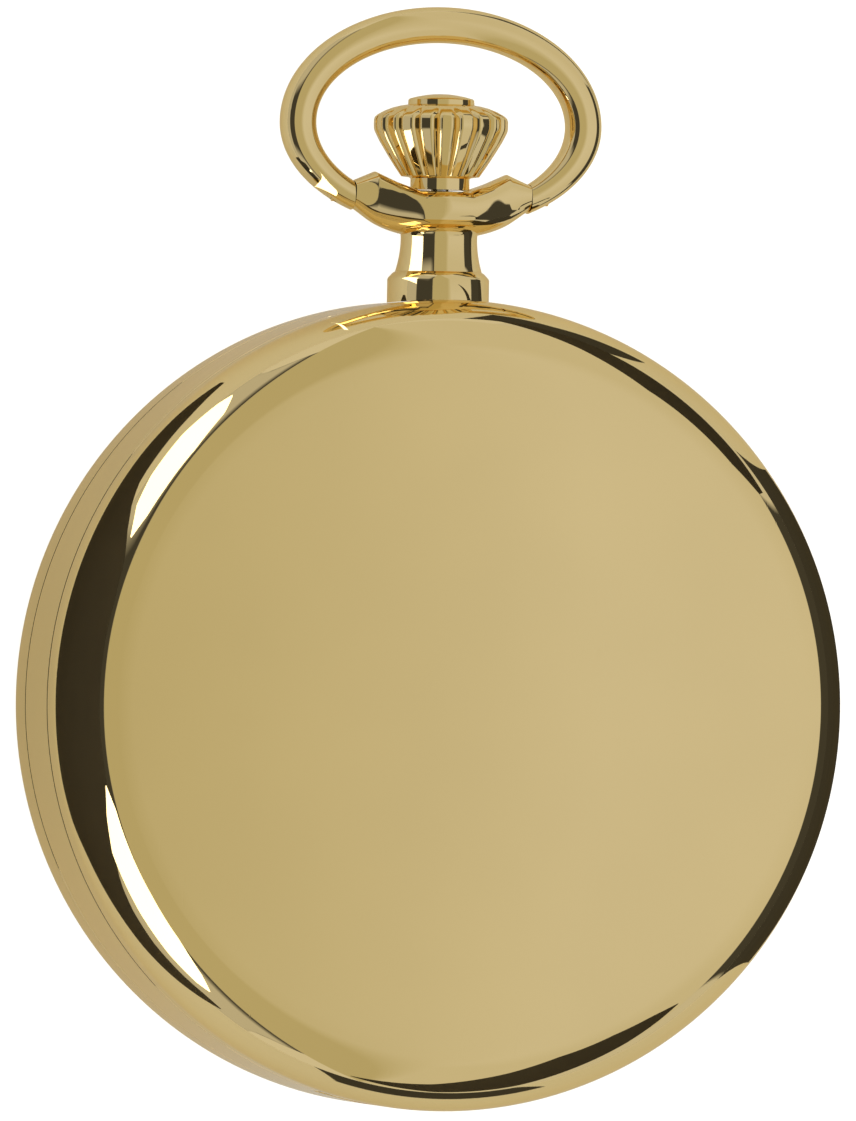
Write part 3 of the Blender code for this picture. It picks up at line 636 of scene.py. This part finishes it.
def saddle():
    """The boat-shaped block that carries the bow: eared above, bowed below."""
    rings = []
    for x in np.linspace(-SADDLE_HALF, SADDLE_HALF, 113):
        place = abs(x)
        top = np.interp(place, *zip(*SADDLE_TOP))
        bottom, reach = eased(place, SADDLE_KEEL), eased(place, SADDLE_DEPTH)
        middle = bottom + SADDLE_HIP * (top - bottom)
        ring = []
        for a in np.radians(np.arange(0, 360, 5)):
            across, along = math.cos(a), math.sin(a)
            power = 0.5 + 0.28 * min(1.0, place / 3) if along > 0 else 0.85
            across = math.copysign(abs(across) ** power, across)
            along = math.copysign(abs(along) ** power, along)
            half = top - middle if along > 0 else middle - bottom
            ring.append((x, middle + half * along, STEM_Z + reach * across))
        rings.append(ring)
    points, faces = skin(rings)
    return add("helper", points, faces, None, None, sharp=40)


def pendant():
    """Collar, waisted neck and saddle, bored for the crown's hub and stem sleeve."""
    foot, collar_r, collar_top, neck_r, waist_r = 24.3, 3.16, 26.4, 2.67, 2.37
    sleeve_r, hub_r, hub_foot = 1.5, 2.0, 30.73
    outline = [
        (0, foot),
        (collar_r, foot),
        (collar_r, collar_top - 0.12),
        (collar_r - 0.05, collar_top),
        (neck_r + 0.16, 26.7),
        (neck_r + 0.02, 26.78),
        *[(waist_r + 0.3 * (1 - t) ** 2, 26.85 + 2.0 * t) for t in np.linspace(0, 1, 10)],
        *arc((waist_r + 0.8, 28.9), 0.8, 180, 120, 6),
        (0, 29.9),
    ]
    body = stem_turned("pendant_body", outline, gold, "case", ["pendant"], sides=144)
    trim = [(0, -1), (CASE_R + RUN, -1), (CASE_R + RUN, LID_HIGH.z), (0, LID_HIGH.z)]
    combine(body, turned("helper", trim, None, None), "DIFFERENCE")
    combine(body, saddle(), "UNION", 40)
    stub = [(0, BAND_BORE_R + 0.1), (1.7, BAND_BORE_R + 0.1), (1.7, 26.0), (0, 26.0)]
    combine(body, stem_turned("helper", stub), "UNION", 40)
    bore = [(0, 20), (sleeve_r, 20), (sleeve_r, hub_foot), (hub_r, hub_foot), (hub_r, 34), (0, 34)]
    combine(body, stem_turned("helper", bore), "DIFFERENCE", 40)
    for side in (-1, 1):
        ends = sorted((side * 4.6, side * 7))
        hole = rod_x(BOW_PIN_R + RUN, *ends, PIVOT_Y, STEM_Z)
        combine(body, hole, "DIFFERENCE", 40)
    return body


BOW_TOP = 7.28
BOW_FOOT = 6.47
BOW_BAR = 2.24
BOW_OPENING_HALF = 8.02
BOW_OPENING_FOOT = 5.0
BOW_CORNER_POWER = 0.8


def bow_edge(half, top, low, start, steps):
    """One edge of the bow, from its left end over the top to its right end.

    Above its widest place it is half an ellipse of height `top`, and below it one of `low`.
    """
    middle = BOW_HIGH.y - BOW_TOP
    last = math.acos(start / half)
    return [
        (half * math.cos(a), middle + (top if math.sin(a) > 0 else low) * math.sin(a))
        for a in np.linspace(math.pi + last, -last, steps)
    ]


def bow():
    """Oval bar, flat in front and behind, with a pin hole in each end."""
    steps, start = 161, SADDLE_HALF + 0.05
    outer = bow_edge(BOW_HIGH.x, BOW_TOP, BOW_FOOT, start, steps)
    inner = bow_edge(BOW_OPENING_HALF, BOW_TOP - BOW_BAR, BOW_OPENING_FOOT, start, steps)
    deep = BOW_HIGH.z - STEM_Z
    rings = []
    for (ox, oy), (ix, iy) in zip(outer, inner):
        ring = []
        for a in np.radians(np.arange(0, 360, 9)):
            across = math.copysign(abs(math.cos(a)) ** BOW_CORNER_POWER, math.cos(a))
            along = math.copysign(abs(math.sin(a)) ** BOW_CORNER_POWER, math.sin(a))
            share = (1 + across) / 2
            ring.append((ix + share * (ox - ix), iy + share * (oy - iy), STEM_Z + deep * along))
        rings.append(ring)
    points, faces = skin(rings)
    made = add("bow_ring", points, faces, gold, "bow", ["bow"], sharp=50)
    for side in (-1, 1):
        ends = sorted((side * 5, side * 7))
        hole = rod_x(BOW_PIN_R + RUN, *ends, PIVOT_Y, STEM_Z)
        combine(made, hole, "DIFFERENCE", 50)
    return made


CROWN_FLUTES = 20
SIDES_PER_FLUTE = 12
GROOVE_SHARE = 0.4
GROOVE_DEPTH = 0.1
RIB_FLATNESS = 0.6
BUTTON_R = 1.95
BUTTON_TOP = 37.8
# Radius, height along the stem, and how deep the flutes are there.
CROWN_PROFILE = (
    (1.83, 31.85, 0), (1.83, 32.55, 0), (1.95, 32.62, 0), (2.42, 32.68, 0.6), (2.6, 32.95, 1),
    (2.84, 33.3, 1), (3.15, 33.78, 1), (3.5, 34.35, 1), (3.8, 34.85, 1), (4.05, 35.35, 1),
    (4.13, 35.55, 1), (4.15, 35.75, 1), (4.15, 36.15, 1), (4.09, 36.33, 0.95), (3.9, 36.5, 0.85),
    (3.5, 36.72, 0.6), (3.0, 36.92, 0.25), (2.5, 37.05, 0.05), (2.06, 37.12, 0), (2.04, 37.42, 0),
)


def flute(n):
    """How far side n of the crown is cut in, for a radius and a flute depth of 1."""
    share = abs((n / SIDES_PER_FLUTE) % 1 - 0.5) * 2
    groove = max(0.0, share - (1 - GROOVE_SHARE)) / GROOVE_SHARE
    flat = 1 - math.cos(math.pi * share / CROWN_FLUTES)
    return GROOVE_DEPTH * groove - RIB_FLATNESS * flat


def crown():
    """Flared, with V grooves between flat ribs, a plain hub below and a button above."""
    sides = SIDES_PER_FLUTE * CROWN_FLUTES
    dome = [(r, BUTTON_TOP - 0.3 * (r / BUTTON_R) ** 2, 0) for r in (BUTTON_R, 1.5, 1.0, 0.5)]
    rings = [
        [
            (*polar(radius * (1 - depth * flute(n)), 360 * n / sides), height)
            for n in range(sides)
        ]
        for radius, height, depth in (*CROWN_PROFILE, *dome)
    ]
    points, faces = skin(rings)
    made = add("crown_body", along_stem(points), faces, gold, "stem", ["crown"], sharp=38)
    stem_r, stem_end = 0.58, 36.3
    bore = [(0, 30), (stem_r, 30), (stem_r, stem_end), (0, stem_end)]
    return combine(made, stem_turned("helper", bore, sides=48), "DIFFERENCE", 38)


# Dial and hands


SECONDS_REACH = 3.2
SECONDS_TAIL = 1.3
SECONDS = (0.0, (SECONDS_LOW.y + SECONDS_HIGH.y) / 2 - (SECONDS_REACH - SECONDS_TAIL) / 2)
SECONDS_DIAL_R = 4.5
SECONDS_SINK = 0.07
MINUTE_TRACK = (19.2, 20.0)
SECONDS_TRACK = (3.4, 3.95)


def dial():
    """A plain white plate with a sunk small-seconds dial, holed for the hands' arbors."""
    low, high, rim_r = DIAL_LOW.z, DIAL_HIGH.z, DIAL_HIGH.x
    outline = [
        (1.25, low),
        (rim_r, low),
        (rim_r, high - 0.05),
        (rim_r - 0.05, high),
        (1.3, high),
        (1.25, high - 0.05),
    ]
    plate = turned("dial_plate", outline, white_enamel, "case", ["dial"])
    for radius, floor in ((SECONDS_DIAL_R, high - SECONDS_SINK), (0.4, low - 1)):
        sink = [(0, floor), (radius, floor), (radius, high + 1), (0, high + 1)]
        cutter = turned("helper", sink, None, None, sides=144, centre=SECONDS)
        combine(plate, cutter, "DIFFERENCE")
    return plate


PRINT_T = 0.02


class Print:
    """Flat inked marks gathered into one mesh."""

    def __init__(self, height):
        self.low = height
        self.points = []
        self.faces = []

    def mark(self, corners):
        """A low block over these corners."""
        start, count = len(self.points), len(corners)
        for z in (self.low, self.low + PRINT_T):
            self.points += [(x, y, z) for x, y in corners]
        for n in range(count):
            after = (n + 1) % count
            self.faces.append((start + n, start + after, start + count + after, start + count + n))
        self.faces.append(tuple(start + n for n in reversed(range(count))))
        self.faces.append(tuple(start + count + n for n in range(count)))

    def tick(self, angle, inner, outer, width, centre):
        a = math.radians(angle)
        ahead, aside = (math.cos(a), math.sin(a)), (-math.sin(a), math.cos(a))
        self.mark(
            [
                (
                    centre[0] + ahead[0] * r + aside[0] * w,
                    centre[1] + ahead[1] * r + aside[1] * w,
                )
                for r, w in (
                    (inner, -width / 2),
                    (outer, -width / 2),
                    (outer, width / 2),
                    (inner, width / 2),
                )
            ]
        )

    def ring(self, radius, width, centre, pieces=120):
        for n in range(pieces):
            first, last = 360 * n / pieces, 360 * (n + 1) / pieces
            self.mark(
                [
                    polar(r, a, centre)
                    for r, a in (
                        (radius, first),
                        (radius + width, first),
                        (radius + width, last),
                        (radius, last),
                    )
                ]
            )

    def stroke(self, start, end, width, place):
        """A slanted stroke of a numeral, its ends level, laid out by place()."""
        (x0, y0), (x1, y1) = start, end
        corners = [
            (x0 - width / 2, y0), (x0 + width / 2, y0), (x1 + width / 2, y1), (x1 - width / 2, y1),
        ]
        self.mark([place(x, y) for x, y in corners])


NUMERALS = ("XII", "I", "II", "III", "IIII", "V", "VI", "VII", "VIII", "IX", "X", "XI")
LETTER_WIDTH = {"I": 0.75, "V": 1.75, "X": 1.75}
NUMERAL_R = 15.1
NUMERAL_H = 3.3


def numeral(sheet, text, hour):
    """A Roman hour numeral, its feet towards the centre."""
    turn = math.radians(-30 * hour)
    thick, thin, serif = 0.42, 0.12, 0.1

    def place(x, y):
        y += NUMERAL_R
        return (
            x * math.cos(turn) - y * math.sin(turn),
            x * math.sin(turn) + y * math.cos(turn),
        )

    x = -sum(LETTER_WIDTH[letter] for letter in text) / 2
    left = x
    for letter in text:
        width = LETTER_WIDTH[letter]
        middle, slant = x + width / 2, width / 2 - 0.35
        if letter == "I":
            sheet.stroke((middle, 0), (middle, NUMERAL_H), thick, place)
        elif letter == "V":
            sheet.stroke((middle, 0), (middle - slant, NUMERAL_H), thick, place)
            sheet.stroke((middle + 0.1, 0), (middle + slant, NUMERAL_H), thin, place)
        else:
            sheet.stroke((middle + slant, 0), (middle - slant, NUMERAL_H), thick, place)
            sheet.stroke((middle - slant, 0), (middle + slant, NUMERAL_H), thin, place)
        x += width
    for y in (0, NUMERAL_H - serif):
        corners = ((left, y), (x, y), (x, y + serif), (left, y + serif))
        sheet.mark([place(*corner) for corner in corners])


def dial_print():
    """Numerals and the two tracks."""
    sheet = Print(DIAL_HIGH.z)
    for hour, text in enumerate(NUMERALS):
        numeral(sheet, text, hour)
    for radius in MINUTE_TRACK:
        sheet.ring(radius, 0.06, (0, 0))
    for minute in range(60):
        width = 0.22 if minute % 5 == 0 else 0.09
        sheet.tick(6 * minute, MINUTE_TRACK[0] + 0.06, MINUTE_TRACK[1], width, (0, 0))
    add("dial_print", sheet.points, sheet.faces, ink, "case")
    small = Print(DIAL_HIGH.z - SECONDS_SINK)
    for radius in SECONDS_TRACK:
        small.ring(radius, 0.05, SECONDS)
    for second in range(60):
        width = 0.16 if second % 5 == 0 else 0.06
        inner = SECONDS_TRACK[0] + (-0.4 if second % 15 == 0 else 0.05)
        small.tick(6 * second, inner, SECONDS_TRACK[1], width, SECONDS)
    add("seconds_print", small.points, small.faces, ink, "case")


def hand(name, node, body, half_width, tail, reach, hub, bore, centre):
    """A blued hand with a chamfered edge, its width given along its length."""
    low, high = box_mm(node)
    bottom, top = low.z + RUN, high.z - RUN
    places = np.linspace(-tail, reach, 90)
    widths = [max(0.02, half_width(place)) for place in places]
    rings = []
    for z, inset in ((bottom, 0.0), (top - 0.05, 0.0), (top, 0.05)):
        right = [
            (centre[0] + max(0.01, width - inset), centre[1] + place, z)
            for place, width in zip(places, widths)
        ]
        left = [(2 * centre[0] - x, y, z) for x, y, z in reversed(right)]
        rings.append([*right, *left])
    points, faces = skin(rings)
    made = add(name, points, faces, blue, body, [node])
    collar = [(0, low.z), (hub, low.z), (hub, high.z - 0.04), (hub - 0.05, high.z), (0, high.z)]
    combine(made, turned("helper", collar, None, None, sides=72, centre=centre), "UNION")
    hole = [(0, low.z - 1), (bore, low.z - 1), (bore, high.z + 1), (0, high.z + 1)]
    return combine(made, turned("helper", hole, None, None, sides=48, centre=centre), "DIFFERENCE")


def bulge(place, middle, spread, height):
    """A soft swelling of a hand round one place along it."""
    return height * math.exp(-(((place - middle) / spread) ** 2))


HOUR_REACH = 9.8
MINUTE_REACH = 17.2


def hour_width(place):
    point = max(0.0, (HOUR_REACH - place) / 2.6)
    shaft = 0.36 - 0.02 * place if place > 0 else 0.42 + 0.05 * abs(place)
    return min(shaft + bulge(place, 6.5, 1.1, 0.75), 0.12 + point * 0.5)


def minute_width(place):
    point = max(0.0, (MINUTE_REACH - place) / 4)
    shaft = 0.36 - 0.012 * place if place > 0 else 0.36 + 0.06 * abs(place)
    return min(shaft + bulge(place, 12.6, 1.4, 0.42), 0.06 + point * 0.42)


def seconds_width(place):
    return 0.09 - 0.02 * place if place > 0 else 0.09 + bulge(place, -1.05, 0.35, 0.2)


def hands():
    hand("hour_hand_blade", "hour_hand", "hour", hour_width, 3.0, HOUR_REACH, 1.5, 1.03, (0, 0))
    hand(
        "minute_hand_blade", "minute_hand", "minute", minute_width, 3.3, MINUTE_REACH, 1.1, 0.47,
        (0, 0),
    )
    hand(
        "seconds_hand_blade", "seconds_hand", "fourth", seconds_width, SECONDS_TAIL,
        SECONDS_REACH, 0.5, 0.24, SECONDS,
    )


# Pieces kept from the CAD


KEPT = {
    gold: ("bow_pin_left", "bow_pin_right", "lid_hinge_pin"),
    plate_brass: ("mainplate", "barrel_bridge", "train_bridge", "balance_cock", "pallet_bridge"),
    brass: (
        "centre_wheel", "third_wheel", "fourth_wheel", "minute_wheel", "hour_wheel",
        "mainspring_barrel", "barrel_cover", "balance_wheel",
    ),
    jewel: ("balance_jewel", "escape_jewel"),
    holder_nylon: ("movement_ring",),
}


def finish_kept():
    """Gives every CAD node that still shows its material and softens its edges."""
    finishes = {node: finish for finish, nodes in KEPT.items() for node in nodes}
    for name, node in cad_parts.items():
        if node.hide_render:
            continue
        finish = finishes.get(name, steel)
        node.data.materials.clear()
        node.data.materials.append(finish)
        softened = node.modifiers.new("edges", "BEVEL")
        softened.width = 0.03 * MM
        softened.segments = 1
        softened.limit_method = "ANGLE"


# Studio


# Every light is a patch of the world, placed by the direction that it comes from. Its tilt is the
# angle in degrees from overhead towards the left, and its run is y over the distance from the Y
# axis. The dark and white cards are seen only in reflections.
PANEL_TILT = (-67.0, 27.0)
PANEL_END = 2.7
PANEL_LIGHT = 0.66
RIGHT_TILT = (-100.0, -66.0)
RIGHT_RUN = (-0.68, 0.45)
RIGHT_LIGHT = 0.6
SIDE_TILT = (65.0, 100.0)
SIDE_LIGHT = 0.5
FILL_TILT = (33.0, 90.0)
FILL_RUN = (0.5, 2.7)
FILL_LIGHT = 0.52
DARK = 0.055
WARM_TILT = (-17.0, -7.0)
WARM_RUN = (0.0, 0.45)
WARM_ENDS = 0.3
WARM_DIM = 0.25
WARM_TINT = (1.0, 0.95, 0.70, 1)

FLOOR_HALF = 4000.0
FLOOR_DROP = 0.02
NEAR_FLOOR = (28.5, 66.0)
CARD_LIFT = 0.05
DARK_SECTORS = ((262.0, 294.0), (325.0, 393.0), (414.0, 436.0))

# Low cards bent round the watch. Each row is an angle, the card's foot and its top.
FENCE_R = 32.5
FENCE = (
    (124.0, 6.0, 8.0),
    (131.0, 2.0, 10.0),
    (138.0, 0.06, 11.0),
    (144.5, 0.06, 12.0),
    (148.0, 0.06, 14.0),
    (152.5, 0.06, 18.5),
    (157.0, 0.06, 25.0),
    (163.0, 0.06, 28.0),
    (193.0, 0.06, 28.0),
    (199.0, 1.5, 25.0),
    (204.0, 5.0, 19.0),
    (209.5, 6.6, 15.5),
    (214.5, 7.8, 14.3),
    (220.5, 9.0, 14.0),
    (226.5, 11.0, 14.6),
    (232.0, 13.4, 15.5),
    (235.0, 15.0, 15.3),
)
NEAR_R = 27.5
WHITE_CARDS = (
    (
        (126.5, 14.7, 14.9),
        (129.0, 14.3, 17.0),
        (136.0, 13.9, 19.1),
        (144.0, 14.3, 19.6),
        (149.0, 15.2, 19.4),
        (153.5, 17.6, 18.0),
    ),
    (
        (194.0, 20.0, 20.4),
        (198.5, 17.6, 22.6),
        (204.0, 15.8, 22.6),
        (214.0, 15.3, 22.2),
        (222.0, 15.2, 20.8),
        (228.0, 15.5, 18.0),
        (230.5, 16.0, 16.2),
    ),
)
ARC_CARDS = (
    (
        (-104.0, 15.0, 15.1),
        (-91.0, 14.6, 16.6),
        (-78.0, 14.9, 19.3),
        (-69.0, 15.5, 21.6),
        (-60.0, 16.0, 21.2),
        (-54.0, 16.6, 19.4),
        (-50.0, 17.2, 17.4),
    ),
    (
        (34.0, 15.6, 16.8),
        (40.0, 15.2, 18.4),
        (57.0, 14.8, 18.8),
        (70.0, 14.4, 16.4),
        (84.0, 14.2, 14.3),
    ),
)
GLINT_X = -8.0
GLINT_Y = (28.0, 32.0)
GLINT_Z = (7.2, 12.5)

VIEW_YAW = 14.5
VIEW_PITCH = 0.25
VIEW_ROLL = 1.01
VIEW_DISTANCE = 900.0
VIEW_CENTRE = (-0.23, 8.93, 6.94)
FRAME_HIGH = 69.38


def sky():
    """White to the camera. To everything else, lit patches on a dark room."""
    world = bpy.data.worlds.new("studio")
    bpy.context.scene.world = world
    world.use_nodes = True
    tree = world.node_tree
    tree.nodes.clear()

    def node(kind, **settings):
        made = tree.nodes.new(kind)
        for key, value in settings.items():
            setattr(made, key, value)
        return made

    def math_node(operation, *values, clamp=False):
        made = node("ShaderNodeMath", operation=operation, use_clamp=clamp)
        for socket, value in zip(made.inputs, values):
            if isinstance(value, (int, float)):
                socket.default_value = value
            else:
                tree.links.new(value, socket)
        return made.outputs[0]

    def between(value, low, high, soft):
        """1 inside the range and 0 outside it, with soft edges of this width."""
        rising = math_node("MULTIPLY_ADD", value, 1 / soft, 0.5 - low / soft, clamp=True)
        falling = math_node("MULTIPLY_ADD", value, -1 / soft, 0.5 + high / soft, clamp=True)
        return math_node("MULTIPLY", rising, falling)

    def ramp_up(value, low, high):
        return math_node("MULTIPLY_ADD", value, 1 / (high - low), -low / (high - low), clamp=True)

    parts = node("ShaderNodeSeparateXYZ")
    tree.links.new(node("ShaderNodeTexCoord").outputs["Generated"], parts.inputs[0])
    x, y, z = parts.outputs
    left = math_node("MULTIPLY", x, -1.0)
    tilt = math_node("DEGREES", math_node("ARCTAN2", left, z))
    squares = [math_node("POWER", value, 2.0) for value in (x, z)]
    run = math_node("DIVIDE", y, math_node("SQRT", math_node("ADD", *squares)))

    far_run = math_node("ABSOLUTE", run)
    main = between(tilt, *PANEL_TILT, 1.5)
    outside_run = math_node("SUBTRACT", 1.0, between(run, *RIGHT_RUN, 0.04))
    right = math_node("MULTIPLY", between(tilt, *RIGHT_TILT, 1.5), outside_run)
    fill = math_node("MULTIPLY", between(tilt, *FILL_TILT, 10), between(far_run, *FILL_RUN, 0.3))
    patches = [
        (main, PANEL_LIGHT),
        (right, RIGHT_LIGHT),
        (math_node("GREATER_THAN", far_run, PANEL_END), PANEL_LIGHT),
        (between(tilt, *SIDE_TILT, 2.0), SIDE_LIGHT),
        (fill, FILL_LIGHT),
    ]
    total = DARK
    for mask, light in patches:
        total = math_node("MAXIMUM", math_node("MULTIPLY", mask, light), total)
    warm_ends = math_node("MULTIPLY", ramp_up(far_run, *WARM_RUN), WARM_ENDS)
    warm = math_node("MAXIMUM", ramp_up(tilt, *WARM_TILT), warm_ends)
    warm = math_node("MULTIPLY", warm, main)
    total = math_node("MULTIPLY", total, math_node("MULTIPLY_ADD", warm, -WARM_DIM, 1.0))
    camera_sees = node("ShaderNodeLightPath").outputs["Is Camera Ray"]
    shown = node("ShaderNodeMix", data_type="FLOAT")
    tree.links.new(camera_sees, shown.inputs[0])
    tree.links.new(total, shown.inputs[2])
    shown.inputs[3].default_value = 1.0
    tint = node("ShaderNodeMix", data_type="RGBA")
    tree.links.new(warm, tint.inputs[0])
    tint.inputs[6].default_value = (1, 1, 1, 1)
    tint.inputs[7].default_value = WARM_TINT
    background = node("ShaderNodeBackground")
    tree.links.new(tint.outputs[2], background.inputs["Color"])
    tree.links.new(shown.outputs[0], background.inputs["Strength"])
    tree.links.new(background.outputs[0], node("ShaderNodeOutputWorld").inputs["Surface"])


def floor():
    """Pale and even. It glows a little, and more for the camera, as an overlit sweep does."""
    made = Nodes("floor")
    made.set(Roughness=0.9, Specular_IOR_Level=0.0)
    grain = made.noise(60, 2)
    made.link(
        made.ramp(grain, [(0.3, (0.85, 0.85, 0.85)), (0.7, (0.87, 0.87, 0.87))]),
        made.shader.inputs["Base Color"],
    )
    made.shader.inputs["Emission Color"].default_value = (1, 1, 1, 1)
    glow = made.spread(made.add("ShaderNodeLightPath").outputs["Is Camera Ray"], 0.2, 0.85, 0, 1)
    made.link(glow, made.shader.inputs["Emission Strength"])
    half = FLOOR_HALF
    corners = [(-half, -half, 0), (half, -half, 0), (half, half, 0), (-half, half, 0)]
    obj = add("floor", corners, [(0, 1, 2, 3)], made.material, None)
    obj.location.z = -FLOOR_DROP * MM


def near_floor(angle):
    """How far the pale floor reaches in this direction before the dark card starts."""
    x, y = abs(math.cos(math.radians(angle))), abs(math.sin(math.radians(angle)))
    return min(NEAR_FLOOR[0] / max(x, 0.01), NEAR_FLOOR[1] / max(y, 0.01))


def low_card(name, knots, radius, finish):
    """A card bent round the watch, given as rows of an angle, its foot and its top."""
    places, *edges = zip(*knots)
    angles = np.linspace(places[0], places[-1], 60)
    points = [
        (*polar(radius, angle), float(np.interp(angle, places, edge)))
        for angle in angles
        for edge in edges
    ]
    faces = [(2 * n, 2 * n + 2, 2 * n + 3, 2 * n + 1) for n in range(len(angles) - 1)]
    return add(name, points, faces, finish, None)


def white_card():
    """The glowing material of the bright cards."""
    made = Nodes("white_card")
    made.shader.inputs["Emission Color"].default_value = (1, 1, 1, 1)
    made.link(made.spread(made.noise(40, 2), 2.3, 2.6), made.shader.inputs["Emission Strength"])
    return made.material


def glint_card(finish):
    """A bright card beside the pendant, for the white line along its neck."""
    (y0, y1), (z0, z1) = GLINT_Y, GLINT_Z
    corners = [(GLINT_X, y, z) for y, z in ((y0, z0), (y1, z0), (y1, z1), (y0, z1))]
    return add("glint_card", corners, [(0, 1, 2, 3)], finish, None)


def dark_card():
    """The material of the dark cards."""
    made = Nodes("dark_card")
    made.set(Roughness=0.9, Specular_IOR_Level=0.0)
    grain = made.noise(80, 2)
    made.link(
        made.ramp(grain, [(0.3, (0.09, 0.09, 0.1)), (0.7, (0.10, 0.10, 0.11))]),
        made.shader.inputs["Base Color"],
    )
    return made.material


def floor_cards(finish):
    """Dark sectors of the floor beyond its pale part near the watch."""
    points, faces = [], []
    for start, end in DARK_SECTORS:
        first = len(points)
        angles = np.linspace(start, end, 24)
        for angle in angles:
            for reach in (near_floor(angle), FLOOR_HALF):
                points.append((*polar(reach, angle), CARD_LIFT))
        for n in range(first, first + 2 * len(angles) - 2, 2):
            faces.append((n, n + 1, n + 3, n + 2))
    return add("dark_cards", points, faces, finish, None)


def cards():
    """Dark and bright cards that show only in reflections."""
    dark, white = dark_card(), white_card()
    staged = [floor_cards(dark), low_card("dark_fence", FENCE, FENCE_R, dark), glint_card(white)]
    for n, knots in enumerate(ARC_CARDS):
        staged.append(low_card(f"dark_arc_{n}", knots, NEAR_R, dark))
    for n, knots in enumerate(WHITE_CARDS):
        staged.append(low_card(f"white_arc_{n}", knots, NEAR_R, white))
    for obj in staged:
        obj.visible_camera = False
        obj.visible_shadow = False
        obj.visible_diffuse = False
        obj.visible_transmission = False


def camera():
    """Looks down on the watch from a little to its left."""
    yaw, pitch, roll = (math.radians(a) for a in (VIEW_YAW, VIEW_PITCH, VIEW_ROLL))
    back = Vector(
        (-math.sin(yaw) * math.cos(pitch), -math.sin(pitch), math.cos(yaw) * math.cos(pitch))
    )
    right = Vector((0, 1, 0)).cross(back).normalized()
    up = back.cross(right)
    turned_right = right * math.cos(roll) + up * math.sin(roll)
    turned_up = up * math.cos(roll) - right * math.sin(roll)
    data = bpy.data.cameras.new("camera")
    data.sensor_width = 36.0
    data.lens = data.sensor_width * VIEW_DISTANCE / FRAME_HIGH
    data.clip_start, data.clip_end = 0.01, 20.0
    obj = bpy.data.objects.new("camera", data)
    bpy.context.scene.collection.objects.link(obj)
    turn = Matrix((turned_right, turned_up, back)).transposed().to_4x4()
    place = (Vector(VIEW_CENTRE) + back * VIEW_DISTANCE) * MM
    obj.matrix_world = Matrix.Translation(place) @ turn
    bpy.context.scene.camera = obj


front_lid()
case_band()
back_cover()
bezel()
crystal()
pendant()
bow()
crown()
dial()
dial_print()
hands()
finish_kept()
floor()
cards()
sky()
camera()

bpy.context.scene.view_settings.view_transform = "Standard"
